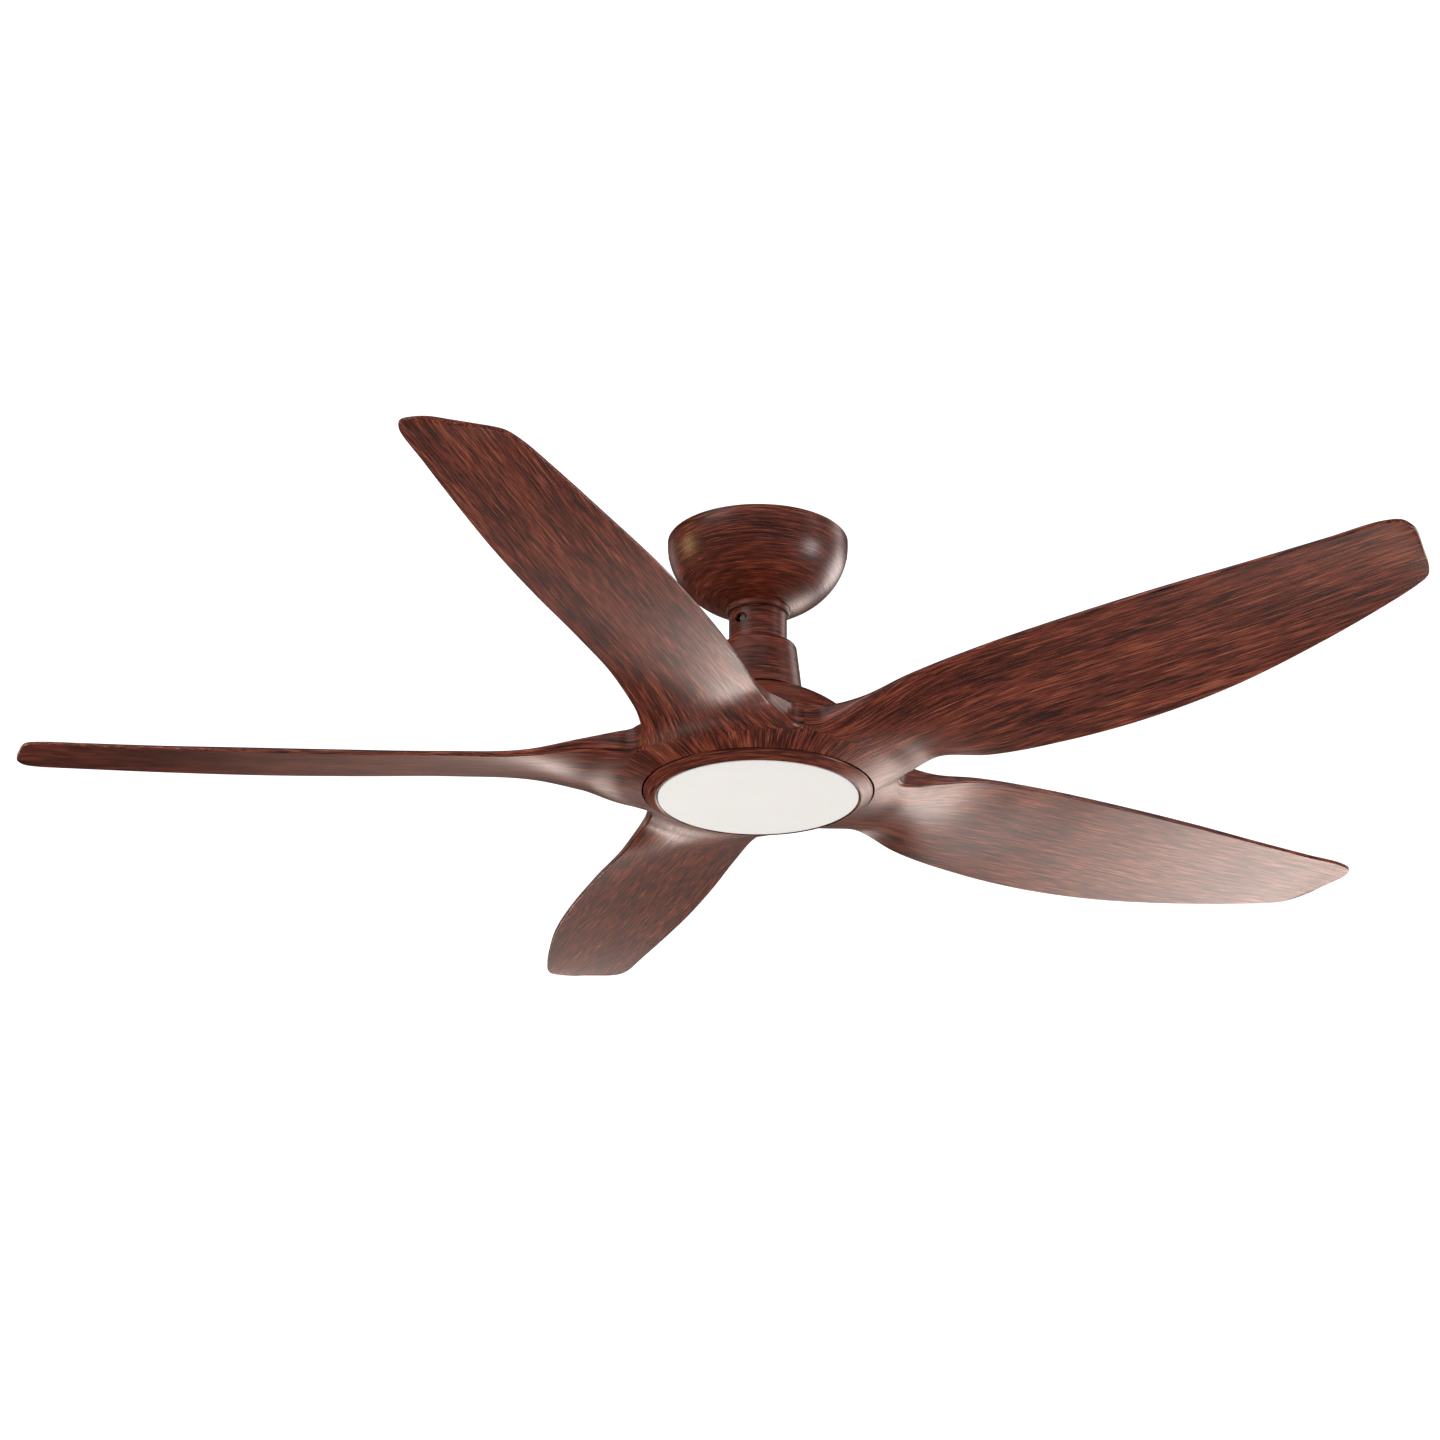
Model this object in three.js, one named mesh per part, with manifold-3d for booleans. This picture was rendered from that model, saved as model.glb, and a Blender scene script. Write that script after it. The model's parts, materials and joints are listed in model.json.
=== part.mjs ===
// Five-blade ceiling fan with a flush LED light: bracket, canopy, short downrod, motor, blades and light kit.
// Units are millimetres. +Z is up. The origin lies on the fan's axis in the plane of the ceiling.

import * as THREE from 'three';
import { mergeVertices } from 'three/addons/utils/BufferGeometryUtils.js';
import Module from 'manifold-3d';

const wasm = await Module();
wasm.setup();

// ---------------------------------------------------------------- driving dimensions

const GAP = 0.3; // between pieces that rest on each other
const SMOOTH = 28; // sides of a large turned piece
const PLAIN = 18; // sides of a hidden turned piece
const FINE = 9; // sides of a screw or a pin

const ROTOR_Z = -211.5; // reference plane of the blades
const BLADE_COUNT = 5;
const FIRST_BLADE_DEG = 35.3;
const BLADE_STEP_DEG = 360 / BLADE_COUNT;
const SEAM_DEG = 37; // a blade's root ends here on its trailing side, one step further on its leading side
const SEAM_INSET_DEG = 0.15;

const CANOPY_R = 80.5;
const CANOPY_SKIRT = 4; // straight part below the ceiling
const CANOPY_DEPTH = 66.5; // of the round part below it
const CANOPY_WALL = 1.5;
const CANOPY_HOLE_R = 29;

const PIN_DEG = -127; // direction of the three cross pins of the downrod
const ROD_R = 10.5;
const ROD_BORE_R = 8.4;
const ROD_TOP_Z = -18;
const ROD_END_Z = -122;
const BALL_R = 23.5;
const BALL_Z = -38;

const SLEEVE_R = 25.7;
const SLEEVE_WALL = 2;
const SLEEVE_HOLE_Z = -81.5;

const CLEVIS_Z = -112;
const SET_SCREW_Z = -118;
const YOKE_R = 17.5;
const YOKE_TOP_Z = -105;
const YOKE_END_Z = -146;

const COVER_TOP_Z = -101;
const COVER_END_Z = -148.5;

const SHAFT_R = 8.5;
const SHAFT_BORE_R = 5.5;
const SHAFT_END_Z = -226;

const FLANGE_TOP_Z = -204.5; // the blades are screwed up against this flange
const FLANGE_END_Z = -207.5;
const FLANGE_R = 107;
const TONGUE_END_Z = -214; // underside of the blade roots above the light
const TONGUE_R = 86;
const LIGHT_RECESS_R = 101.5;
const BLADE_SCREW_R = 93;

const RING_R = 100; // wooden ring round the lens
const RING_EDGE_Z = -239.7;
const LENS_R = 87.4;
const LENS_Z = -246.5;
const LENS_TOP_Z = -236;
const LUG_COUNT = 3;
const TWIST_DEG = 20; // turn that frees the lens

const WALNUT = { color: 0x4d2a22, roughness: 0.42, metalness: 0 };
const STEEL = { color: 0xa8aaad, roughness: 0.35, metalness: 1 };
const DARK_STEEL = { color: 0x4a4c50, roughness: 0.45, metalness: 1 };
const ALUMINIUM = { color: 0xb9bcc0, roughness: 0.4, metalness: 1 };
const COPPER = { color: 0xa4582c, roughness: 0.4, metalness: 0.9 };
const FERRITE = { color: 0x2b2b2e, roughness: 0.7, metalness: 0.1 };
const BLACK_PLASTIC = { color: 0x1d1d1f, roughness: 0.55, metalness: 0 };
const WHITE_PLASTIC = { color: 0xe9e7e2, roughness: 0.5, metalness: 0 };
const OPAL = { color: 0xebe8e4, roughness: 0.3, metalness: 0 };

// ---------------------------------------------------------------- solids

const radians = THREE.MathUtils.degToRad;
const { lerp } = THREE.MathUtils;

function polar(radius, degrees, z = 0) {
  return new THREE.Vector3(radius * Math.cos(radians(degrees)), radius * Math.sin(radians(degrees)), z);
}

// Makes one closed manifold solid from a closed geometry, with its faces turned outwards.
function solid(geometry) {
  const bare = geometry.clone();
  bare.deleteAttribute('normal');
  bare.deleteAttribute('uv');
  const merged = mergeVertices(bare, 1e-3);
  const vertProperties = new Float32Array(merged.attributes.position.array);
  const at = (i) => new THREE.Vector3().fromArray(vertProperties, 3 * i);
  const triangles = [];
  let volume = 0;
  for (let i = 0; i < merged.index.count; i += 3) {
    const [a, b, c] = [0, 1, 2].map((k) => merged.index.getX(i + k));
    if (a === b || b === c || c === a) continue;
    triangles.push([a, b, c]);
    volume += at(a).dot(at(b).cross(at(c)));
  }
  const outward = triangles.map(([a, b, c]) => (volume > 0 ? [a, b, c] : [a, c, b]));
  const triVerts = new Uint32Array(outward.flat());
  return new wasm.Manifold(new wasm.Mesh({ numProp: 3, vertProperties, triVerts }));
}

function geometryOf(body) {
  const { numProp, vertProperties, triVerts } = body.getMesh();
  const positions = [];
  for (let i = 0; i < vertProperties.length; i += numProp) {
    positions.push(vertProperties[i], vertProperties[i + 1], vertProperties[i + 2]);
  }
  const geometry = new THREE.BufferGeometry();
  geometry.setAttribute('position', new THREE.Float32BufferAttribute(positions, 3));
  geometry.setIndex(Array.from(triVerts));
  geometry.computeVertexNormals();
  return geometry;
}

const fuse = (...bodies) => bodies.reduce((whole, body) => whole.add(body));
const cut = (body, ...tools) => tools.reduce((rest, tool) => rest.subtract(tool), body);

// Turns a profile of [radius, z] points about the Z axis. One that starts off the axis is closed on itself.
function turned(profile, sides = SMOOTH) {
  const points = profile.map(([r, z]) => new THREE.Vector2(r, z));
  if (profile[0][0] > 0) points.push(points[0].clone());
  return solid(new THREE.LatheGeometry(points, sides).rotateX(Math.PI / 2));
}

const tube = (inner, outer, top, end, sides = SMOOTH) =>
  turned([[inner, end], [outer, end], [outer, top], [inner, top]], sides);

const disc = (radius, top, end, sides = SMOOTH) =>
  turned([[0, end], [radius, end], [radius, top], [0, top]], sides);

function block(x, y, z, width, depth, height) {
  return solid(new THREE.BoxGeometry(width, depth, height).translate(x, y, z));
}

// A round bar along the horizontal direction `degrees`, from one distance off the axis to another.
function bar(radius, from, to, degrees, z, sides = FINE) {
  const length = to - from;
  const shape = new THREE.CylinderGeometry(radius, radius, length, sides).rotateZ(-Math.PI / 2);
  return solid(shape.translate(from + length / 2, 0, 0).rotateZ(radians(degrees)).translate(0, 0, z));
}

// An upright bar at (x, y).
function post(radius, x, y, top, end, sides = FINE) {
  const shape = new THREE.CylinderGeometry(radius, radius, top - end, sides).rotateX(Math.PI / 2);
  return solid(shape.translate(x, y, (top + end) / 2));
}

function hexagon(acrossFlats, x, y, top, end) {
  return post(acrossFlats / Math.sqrt(3), x, y, top, end, 6);
}

// A ring sector between two radii and two heights, centred on `degrees`.
function sector(inner, outer, top, end, degrees, span) {
  const from = radians(degrees - span / 2);
  const to = radians(degrees + span / 2);
  const outline = new THREE.Shape();
  outline.absarc(0, 0, outer, from, to, false);
  outline.absarc(0, 0, inner, to, from, true);
  const options = { depth: top - end, bevelEnabled: false, curveSegments: 2 };
  return solid(new THREE.ExtrudeGeometry(outline, options).translate(0, 0, end));
}

// A button-head screw with a hexagon socket. `up` is 1 when it points up, and -1 when it points down.
function screw({ x, y }, seat, up, headR, headH, shankR, length) {
  const upright = (radius, from, to, sides) => {
    const ends = [seat + from * up, seat + to * up];
    return post(radius, x, y, Math.max(...ends), Math.min(...ends), sides);
  };
  const body = fuse(upright(headR, -headH, 0, FINE), upright(shankR, -headH / 2, length, FINE));
  return cut(body, upright(headR / 2, -headH - 1, -headH / 2, 6));
}

const fan = new THREE.Group();

function place(name, body, finish, parent = fan) {
  const mesh = new THREE.Mesh(geometryOf(body), new THREE.MeshStandardMaterial(finish));
  mesh.name = name;
  parent.add(mesh);
  return mesh;
}

// ---------------------------------------------------------------- ceiling bracket and canopy

const BRACKET_SHEET = 2.5;
const BRACKET_WIDTH = 36;
const EAR_X = 75; // outer face of the ears that take the canopy screws
const EAR_DROP = 17;
const LEG_X = 34;
const SEAT_TOP_Z = -46;
const SEAT_END_Z = -49;
const CANOPY_SCREW_Z = -12;
const CANOPY_SCREW_FACE = 79.7; // outer face of the countersunk heads
const BOX_SCREW_X = 44.5; // half of the usual spacing of a ceiling box's screws

function ceilingBracket() {
  const plate = block(0, 0, -BRACKET_SHEET / 2, 2 * EAR_X, BRACKET_WIDTH, BRACKET_SHEET);
  const ears = [-1, 1].map((side) =>
    block(side * (EAR_X - BRACKET_SHEET / 2), 0, -EAR_DROP / 2, BRACKET_SHEET, 20, EAR_DROP));
  const legs = [-1, 1].map((side) =>
    block(side * (LEG_X - BRACKET_SHEET / 2), 0, SEAT_END_Z / 2, BRACKET_SHEET, 26, -SEAT_END_Z));
  const seat = disc(LEG_X, SEAT_TOP_Z, SEAT_END_Z, PLAIN);
  const seatHole = disc(BALL_R - 1, SEAT_TOP_Z + 1, SEAT_END_Z - 1, PLAIN);
  const rodSlot = block(0, LEG_X / 2, (SEAT_TOP_Z + SEAT_END_Z) / 2, 2 * ROD_R + 3, LEG_X + 4, 5);
  const boxSlots = [-1, 1].map((side) => block(side * BOX_SCREW_X, 0, -BRACKET_SHEET / 2, 12, 5.5, 6));
  const wireHole = post(7, 22, 8, 1, -BRACKET_SHEET - 1);
  const corners = [-1, 1].flatMap((x) =>
    [-1, 1].map((y) => block(x * EAR_X, y * (BRACKET_WIDTH / 2 + 1), -BRACKET_SHEET / 2, 24, 18, 6)));
  const earHoles = [0, 180].map((degrees) => bar(2.3, EAR_X - 4, EAR_X + 2, degrees, CANOPY_SCREW_Z));
  return cut(fuse(plate, ...legs, seat), seatHole, rodSlot, ...boxSlots, wireHole, ...corners)
    .add(fuse(...ears)).subtract(fuse(...earHoles));
}

function canopyProfile(radius, depth, holeR) {
  const end = Math.acos(holeR / radius);
  const steps = 5;
  const profile = [[radius, 0]];
  for (let i = 0; i <= steps; i += 1) {
    const angle = (end * i) / steps;
    profile.push([radius * Math.cos(angle), -CANOPY_SKIRT - depth * Math.sin(angle)]);
  }
  return profile;
}

// A countersunk head, or the seat of one, that widens outwards to `wide` at the distance `face` off the axis.
function countersink(narrow, wide, face, degrees) {
  const depth = wide - narrow;
  const cone = new THREE.CylinderGeometry(wide, narrow, depth, FINE).rotateZ(-Math.PI / 2);
  cone.translate(face - depth / 2, 0, 0).rotateZ(radians(degrees));
  return solid(cone.translate(0, 0, CANOPY_SCREW_Z));
}

function canopy() {
  const outside = canopyProfile(CANOPY_R, CANOPY_DEPTH, CANOPY_HOLE_R);
  const inside = canopyProfile(CANOPY_R - CANOPY_WALL, CANOPY_DEPTH - CANOPY_WALL, CANOPY_HOLE_R);
  const seats = [0, 180].flatMap((degrees) => [
    bar(2.6, CANOPY_R - 5, CANOPY_R + 2, degrees, CANOPY_SCREW_Z),
    countersink(2.6, 4.7, CANOPY_SCREW_FACE + GAP, degrees),
  ]);
  return cut(turned([...outside, ...inside.reverse()]), ...seats);
}

function canopyScrew(degrees) {
  const shank = bar(2, EAR_X - 6, CANOPY_SCREW_FACE - 1, degrees, CANOPY_SCREW_Z);
  const socket = bar(1.6, CANOPY_SCREW_FACE - 1.2, CANOPY_SCREW_FACE + 1, degrees, CANOPY_SCREW_Z, 6);
  return cut(fuse(shank, countersink(1.9, 3.9, CANOPY_SCREW_FACE, degrees)), socket);
}

// Collar round the neck, clipped into the hole of the canopy by the flange at its top.
function canopyTrimRing() {
  return turned([
    [SLEEVE_R + 0.5, -61.3], [31.5, -61.3], [31.5, -62.8], [28.6, -62.8], [28.6, -69.2],
    [28, -70.9], [26.9, -71.5], [SLEEVE_R + 0.5, -71],
  ]);
}

function receiverBox() {
  const box = block(0, 0, -9.3, 44, 92, 12);
  const leadHole = post(3.6, 0, 0, -12, -20);
  return cut(box, leadHole);
}

// ---------------------------------------------------------------- downrod, neck and coupling

const crossPin = (radius, half, z) => bar(radius, -half, half, PIN_DEG, z);

function hangerBall() {
  const sphere = solid(new THREE.SphereGeometry(BALL_R, 20, 12).translate(0, 0, BALL_Z));
  const middle = disc(BALL_R + 1, BALL_Z + 17, BALL_Z - 17, PLAIN);
  return cut(sphere.intersect(middle), disc(ROD_R + GAP, 0, -80, PLAIN), crossPin(3.3, 30, BALL_Z));
}

function downrod() {
  const pipe = tube(ROD_BORE_R, ROD_R, ROD_TOP_Z, ROD_END_Z, PLAIN);
  return cut(pipe, ...[BALL_Z, SLEEVE_HOLE_Z, CLEVIS_Z].map((z) => crossPin(3.3, 20, z)));
}

function neckSleeve() {
  const pipe = tube(SLEEVE_R - SLEEVE_WALL, SLEEVE_R, -62, -107);
  const oval = solid(
    new THREE.CylinderGeometry(4.6, 4.6, 12, FINE).rotateZ(-Math.PI / 2).scale(1, 1.37, 1)
      .translate(SLEEVE_R, 0, 0).rotateZ(radians(PIN_DEG)).translate(0, 0, SLEEVE_HOLE_Z),
  );
  return cut(pipe, oval);
}

// Bolt through the rod that centres the sleeve. Its end is seen in the sleeve's oval hole.
function rodBolt() {
  const head = solid(new THREE.CylinderGeometry(5.2, 5.2, 3.6, 6).rotateZ(-Math.PI / 2)
    .translate(-20.6, 0, 0).rotateZ(radians(PIN_DEG)).translate(0, 0, SLEEVE_HOLE_Z));
  return fuse(bar(3, -19, 22.6, PIN_DEG, SLEEVE_HOLE_Z), head);
}

function rodNut() {
  const nut = solid(new THREE.CylinderGeometry(5.2, 5.2, 4.5, 6).rotateZ(-Math.PI / 2)
    .translate(13.6, 0, 0).rotateZ(radians(PIN_DEG)).translate(0, 0, SLEEVE_HOLE_Z));
  return cut(nut, bar(3.3, 5, 30, PIN_DEG, SLEEVE_HOLE_Z));
}

function couplingYoke() {
  const casting = turned([
    [0, YOKE_END_Z], [YOKE_R, YOKE_END_Z], [YOKE_R, YOKE_TOP_Z - 2],
    [YOKE_R - 2, YOKE_TOP_Z], [0, YOKE_TOP_Z],
  ], PLAIN);
  const rodBore = disc(ROD_R + GAP, 0, ROD_END_Z - GAP, PLAIN);
  const shaftBore = disc(SHAFT_R + GAP, 0, YOKE_END_Z - 1, PLAIN);
  const screwHoles = [90, -90].map((turn) => bar(2.8, ROD_R - 1, YOKE_R + 2, PIN_DEG + turn, SET_SCREW_Z));
  return cut(casting, rodBore, shaftBore, crossPin(3.3, 30, CLEVIS_Z), ...screwHoles);
}

function clevisPin() {
  const shank = bar(3, -YOKE_R - 4, YOKE_R + 1, PIN_DEG, CLEVIS_Z);
  const head = bar(4.5, YOKE_R + GAP, YOKE_R + 2.4, PIN_DEG, CLEVIS_Z);
  const { x, y } = polar(-YOKE_R - 2.2, PIN_DEG);
  return cut(fuse(shank, head), post(1.1, x, y, CLEVIS_Z + 10, CLEVIS_Z - 10, 8));
}

// Split pin that keeps the clevis pin in: a bent wire through its end.
function cotterPin() {
  const { x, y } = polar(-YOKE_R - 2.2, PIN_DEG);
  const path = new THREE.CatmullRomCurve3([
    new THREE.Vector3(x, y, CLEVIS_Z + 7),
    new THREE.Vector3(x, y, CLEVIS_Z),
    new THREE.Vector3(x, y, CLEVIS_Z - 5),
    new THREE.Vector3(x + 1.5, y - 1.5, CLEVIS_Z - 8),
  ]);
  const wire = new THREE.Shape().absarc(0, 0, 0.7, 0, 2 * Math.PI, false);
  const geometry = new THREE.ExtrudeGeometry(wire, { steps: 6, extrudePath: path, curveSegments: 2 });
  const eye = solid(new THREE.SphereGeometry(1.5, 8, 6).translate(x, y, CLEVIS_Z + 7.5));
  return fuse(solid(geometry), eye);
}

function setScrew(turn) {
  const screw = bar(2.5, ROD_R + GAP, YOKE_R - 0.5, PIN_DEG + turn, SET_SCREW_Z);
  const socket = solid(new THREE.CylinderGeometry(1.4, 1.4, 3, 6).rotateZ(-Math.PI / 2)
    .translate(YOKE_R - 0.8, 0, 0).rotateZ(radians(PIN_DEG + turn)).translate(0, 0, SET_SCREW_Z));
  return cut(screw, socket);
}

function couplingCover() {
  const outside = [
    [SLEEVE_R + 0.5, COVER_TOP_Z], [28.4, COVER_TOP_Z - 0.8], [31.6, COVER_TOP_Z - 3],
    [33.6, COVER_TOP_Z - 6], [34.6, COVER_TOP_Z - 10], [39.3, COVER_END_Z],
  ];
  const inside = [
    [37.6, COVER_END_Z], [32.9, COVER_TOP_Z - 10], [31, COVER_TOP_Z - 5.5],
    [SLEEVE_R + 0.5, COVER_TOP_Z - 3.5],
  ];
  return turned([...outside, ...inside]);
}

// ---------------------------------------------------------------- motor

const DOME_SPHERE_R = 122.4;
const DOME_FLAT_R = 38;
const DOME_TOP_Z = -150;
const DOME_WALL = 2;
const DOME_SCREW_R = 33;
const TOP_SCREWS_DEG = [0, 120, 240];
const SHELL_R = 70;
const STATOR_R = 60;
const SLOT_COUNT = 9;
const CORE_TOP_Z = -178;
const CORE_END_Z = -191;
const COIL_RISE = 4.5; // end turns above and below the core
const UPPER_BEARING_Z = -157; // top faces of the two bearings
const LOWER_BEARING_Z = -200.5;

function motorShaft() {
  return tube(SHAFT_BORE_R, SHAFT_R, ROD_END_Z - 1, SHAFT_END_Z, PLAIN);
}

// The dome is part of a sphere about a point on the axis and stands on the motor's flange.
function motorTopCover() {
  const centreZ = DOME_TOP_Z - Math.sqrt(DOME_SPHERE_R ** 2 - DOME_FLAT_R ** 2);
  const steps = 4;
  const from = Math.asin(DOME_FLAT_R / DOME_SPHERE_R);
  const arc = (radius) => {
    const to = Math.acos((FLANGE_TOP_Z + GAP - centreZ) / radius);
    return Array.from({ length: steps + 1 }, (_, i) => {
      const angle = lerp(from, to, i / steps);
      return [radius * Math.sin(angle), centreZ + radius * Math.cos(angle)];
    });
  };
  const outside = [[24, DOME_TOP_Z], ...arc(DOME_SPHERE_R)];
  const inside = [[24, DOME_TOP_Z - DOME_WALL], ...arc(DOME_SPHERE_R - DOME_WALL)].reverse();
  const holes = TOP_SCREWS_DEG.map((degrees) => {
    const { x, y } = polar(DOME_SCREW_R, degrees);
    return post(2.1, x, y, DOME_TOP_Z + 1, DOME_TOP_Z - 5);
  });
  return cut(turned([...outside, ...inside]), ...holes);
}

const topCoverScrew = (degrees) => screw(polar(DOME_SCREW_R, degrees), DOME_TOP_Z + GAP, -1, 3, 1.2, 1.8, 9);

function rotorUpperShell() {
  const shell = turned([
    [16.3, -156], [21, -156], [21, -161], [28, -161], [28, DOME_TOP_Z - DOME_WALL - GAP],
    [37, DOME_TOP_Z - DOME_WALL - GAP], [37, -162.5], [62, -166.5], [SHELL_R, -173], [SHELL_R, -199],
    [66.3, -199], [66.3, -174.5], [61, -169.5], [16.3, -166],
  ], PLAIN);
  const holes = TOP_SCREWS_DEG.map((degrees) => {
    const { x, y } = polar(DOME_SCREW_R, degrees);
    return post(2.1, x, y, DOME_TOP_Z + 1, -160);
  });
  return cut(shell, ...holes);
}

function rotorLowerShell() {
  const shell = turned([
    [16.3, -199], [21, -199], [21, -207.5], [SHELL_R - 4, -208.5], [SHELL_R + GAP, -205],
    [SHELL_R + GAP, -190], [SHELL_R + 3.3, -190], [SHELL_R + 3.3, FLANGE_TOP_Z], [FLANGE_R, FLANGE_TOP_Z],
    [FLANGE_R, FLANGE_END_Z], [SHELL_R + 3.3, FLANGE_END_Z], [SHELL_R, ROTOR_Z], [16.3, ROTOR_Z],
  ], PLAIN);
  return cut(shell, ...screwSites().map(({ x, y }) => post(2.9, x, y, -200, -212)));
}

function magnetRing() {
  return tube(STATOR_R + 1.6, SHELL_R - 4, CORE_TOP_Z + 2, CORE_END_Z - 4, PLAIN);
}

// Laminated core: a ring, nine teeth and their shoes.
function statorCore() {
  const height = CORE_TOP_Z - CORE_END_Z;
  const ring = tube(SHAFT_R + GAP, 26, CORE_TOP_Z, CORE_END_Z, PLAIN);
  const teeth = Array.from({ length: SLOT_COUNT }, (_, i) => {
    const degrees = (360 / SLOT_COUNT) * i;
    const tooth = new THREE.BoxGeometry(34, 12, height).translate(41, 0, (CORE_TOP_Z + CORE_END_Z) / 2);
    const shoe = sector(56, STATOR_R, CORE_TOP_Z, CORE_END_Z, degrees, 33);
    return fuse(solid(tooth.rotateZ(radians(degrees))), shoe);
  });
  return fuse(ring, ...teeth);
}

// The coils: a bar in every slot and a ring of end turns above and below the core.
function statorWindings() {
  const ends = [
    tube(30, 54, CORE_TOP_Z + COIL_RISE, CORE_TOP_Z + GAP, PLAIN),
    tube(30, 54, CORE_END_Z - GAP, CORE_END_Z - COIL_RISE, PLAIN),
  ];
  const slots = Array.from({ length: SLOT_COUNT }, (_, i) =>
    sector(38, 53, CORE_TOP_Z + 2, CORE_END_Z - 2, (360 / SLOT_COUNT) * (i + 0.5), 8));
  return fuse(...ends, ...slots);
}

// Shielded ball bearing, with a shallow groove between its two races.
const bearing = (top) => turned([
  [SHAFT_R + GAP, top], [11.6, top], [11.6, top - 0.6], [13.6, top - 0.6], [13.6, top], [16, top],
  [16, top - 9], [SHAFT_R + GAP, top - 9],
], PLAIN);

// ---------------------------------------------------------------- blades

// A blade lies along +X with its leading edge on the -Y side. Heights are measured from the blades' reference
// plane. Each station gives both edges, as a point of the underside and a thickness, then how far the middle
// hangs below the straight line between the edges, the thickness there, and how round the station line is.

const LEADING_SEAM_DEG = SEAM_DEG - BLADE_STEP_DEG;
const NOTCH_R = 21.5; // fillet between two neighbouring blades
const NOTCH_CENTRE_R = 145.5;
const ROOT_TOP = FLANGE_TOP_Z - ROTOR_Z;

const edge = (x, y, z, thickness) => ({ point: new THREE.Vector3(x, y, z), thickness });

function seamStation(radius, z, belly) {
  const lead = polar(radius, LEADING_SEAM_DEG + SEAM_INSET_DEG, z);
  const trail = polar(radius, SEAM_DEG - SEAM_INSET_DEG, z);
  const thickness = ROOT_TOP - z;
  return {
    lead: { point: lead, thickness }, trail: { point: trail, thickness },
    belly, middle: thickness + belly, round: 1,
  };
}

// `part` runs from 0 at the bottom of the notch to 1 where its fillet meets the edge of the blade.
function notchStation(part, leadZ, leadThickness, trailZ, trailThickness, belly, middle, round) {
  const leadTurn = lerp(LEADING_SEAM_DEG + 180, 90, part);
  const trailTurn = lerp(SEAM_DEG + 180, 270, part);
  const lead = polar(NOTCH_CENTRE_R, LEADING_SEAM_DEG + SEAM_INSET_DEG).add(polar(NOTCH_R, leadTurn, leadZ));
  const trail = polar(NOTCH_CENTRE_R, SEAM_DEG - SEAM_INSET_DEG).add(polar(NOTCH_R, trailTurn, trailZ));
  return {
    lead: { point: lead, thickness: leadThickness }, trail: { point: trail, thickness: trailThickness },
    belly, middle, round,
  };
}

const station = (lead, trail, belly, middle, round = 0) => ({ lead, trail, belly, middle, round });

const BLADE_STATIONS = [
  seamStation(84, -33, 0),
  seamStation(101, -27.5, 0),
  seamStation(113, -20.5, 4),
  notchStation(0, -14, 20, -14, 20, 8, 28.5, 1),
  notchStation(0.5, -12.5, 17, -13.5, 18, 8.5, 27.5, 0.9),
  notchStation(1, -11, 14.5, -13, 16.5, 9, 26.5, 0.85),
  station(edge(150, -57.5, -4.5, 9.2), edge(149, 60.7, -11.5, 10.3), 8, 21, 0.6),
  station(edge(197, -59, 7.3, 4.2), edge(196, 66.3, -19.7, 6), 4, 14.5, 0.25),
  station(edge(273, -62.7, 13.2, 3.5), edge(271, 74.2, -22.2, 3.5), 1, 11),
  station(edge(359, -66.4, 15.2, 3.5), edge(356, 75.3, -21, 3.5), -1, 10),
  station(edge(444, -67, 16.8, 3.5), edge(440, 68.7, -15.5, 3.5), -1.5, 9),
  station(edge(533, -64, 19, 3), edge(527, 53.3, -6, 3), -1.5, 8),
  station(edge(594, -61.2, 21, 3), edge(585, 40.5, 2, 3), -1, 7),
  station(edge(643, -58.8, 22.8, 3), edge(624, 29.8, 8, 3), -0.5, 6),
  station(edge(656, -53.5, 22.6, 3), edge(638, 22.4, 10.3, 3), 0, 5),
  station(edge(659.5, -40, 21.3, 3), edge(645.8, 8, 12.5, 3), 0, 4),
];

// Point of a station's section at `across`, 0 on the leading edge and 1 on the trailing edge.
function bladePoint(section, across, top) {
  const lead = section.lead.point;
  const trail = section.trail.point;
  const fullness = 4 * across * (1 - across);
  const straight = new THREE.Vector3().lerpVectors(lead, trail, across);
  const radius = lerp(Math.hypot(lead.x, lead.y), Math.hypot(trail.x, trail.y), across);
  const angle = lerp(Math.atan2(lead.y, lead.x), Math.atan2(trail.y, trail.x), across);
  const x = lerp(straight.x, radius * Math.cos(angle), section.round);
  const y = lerp(straight.y, radius * Math.sin(angle), section.round);
  const z = straight.z - section.belly * fullness;
  const edges = lerp(section.lead.thickness, section.trail.thickness, across);
  const extra = section.middle - (section.lead.thickness + section.trail.thickness) / 2;
  return [x, y, top ? z + edges + extra * fullness ** 0.8 : z];
}

function bladeLoft() {
  const across = [0, 0.12, 0.3, 0.5, 0.7, 0.88, 1];
  const loops = BLADE_STATIONS.map((section) => [
    ...across.map((t) => bladePoint(section, t, false)),
    ...across.toReversed().map((t) => bladePoint(section, t, true)),
  ]);
  const size = loops[0].length;
  const index = [];
  for (let i = 0; i + 1 < loops.length; i += 1) {
    for (let j = 0; j < size; j += 1) {
      const next = (j + 1) % size;
      const [a, b, c, d] = [i * size + j, i * size + next, (i + 1) * size + next, (i + 1) * size + j];
      index.push(a, b, c, a, c, d);
    }
  }
  for (const start of [0, (loops.length - 1) * size]) {
    for (let j = 0; j + 1 < size / 2; j += 1) {
      const [a, b, c, d] = [start + j, start + j + 1, start + size - 2 - j, start + size - 1 - j];
      if (start) index.push(a, b, c, a, c, d);
      else index.push(a, c, b, a, d, c);
    }
  }
  const geometry = new THREE.BufferGeometry();
  geometry.setAttribute('position', new THREE.Float32BufferAttribute(loops.flat(2), 3));
  geometry.setIndex(index);
  return solid(geometry);
}

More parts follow.
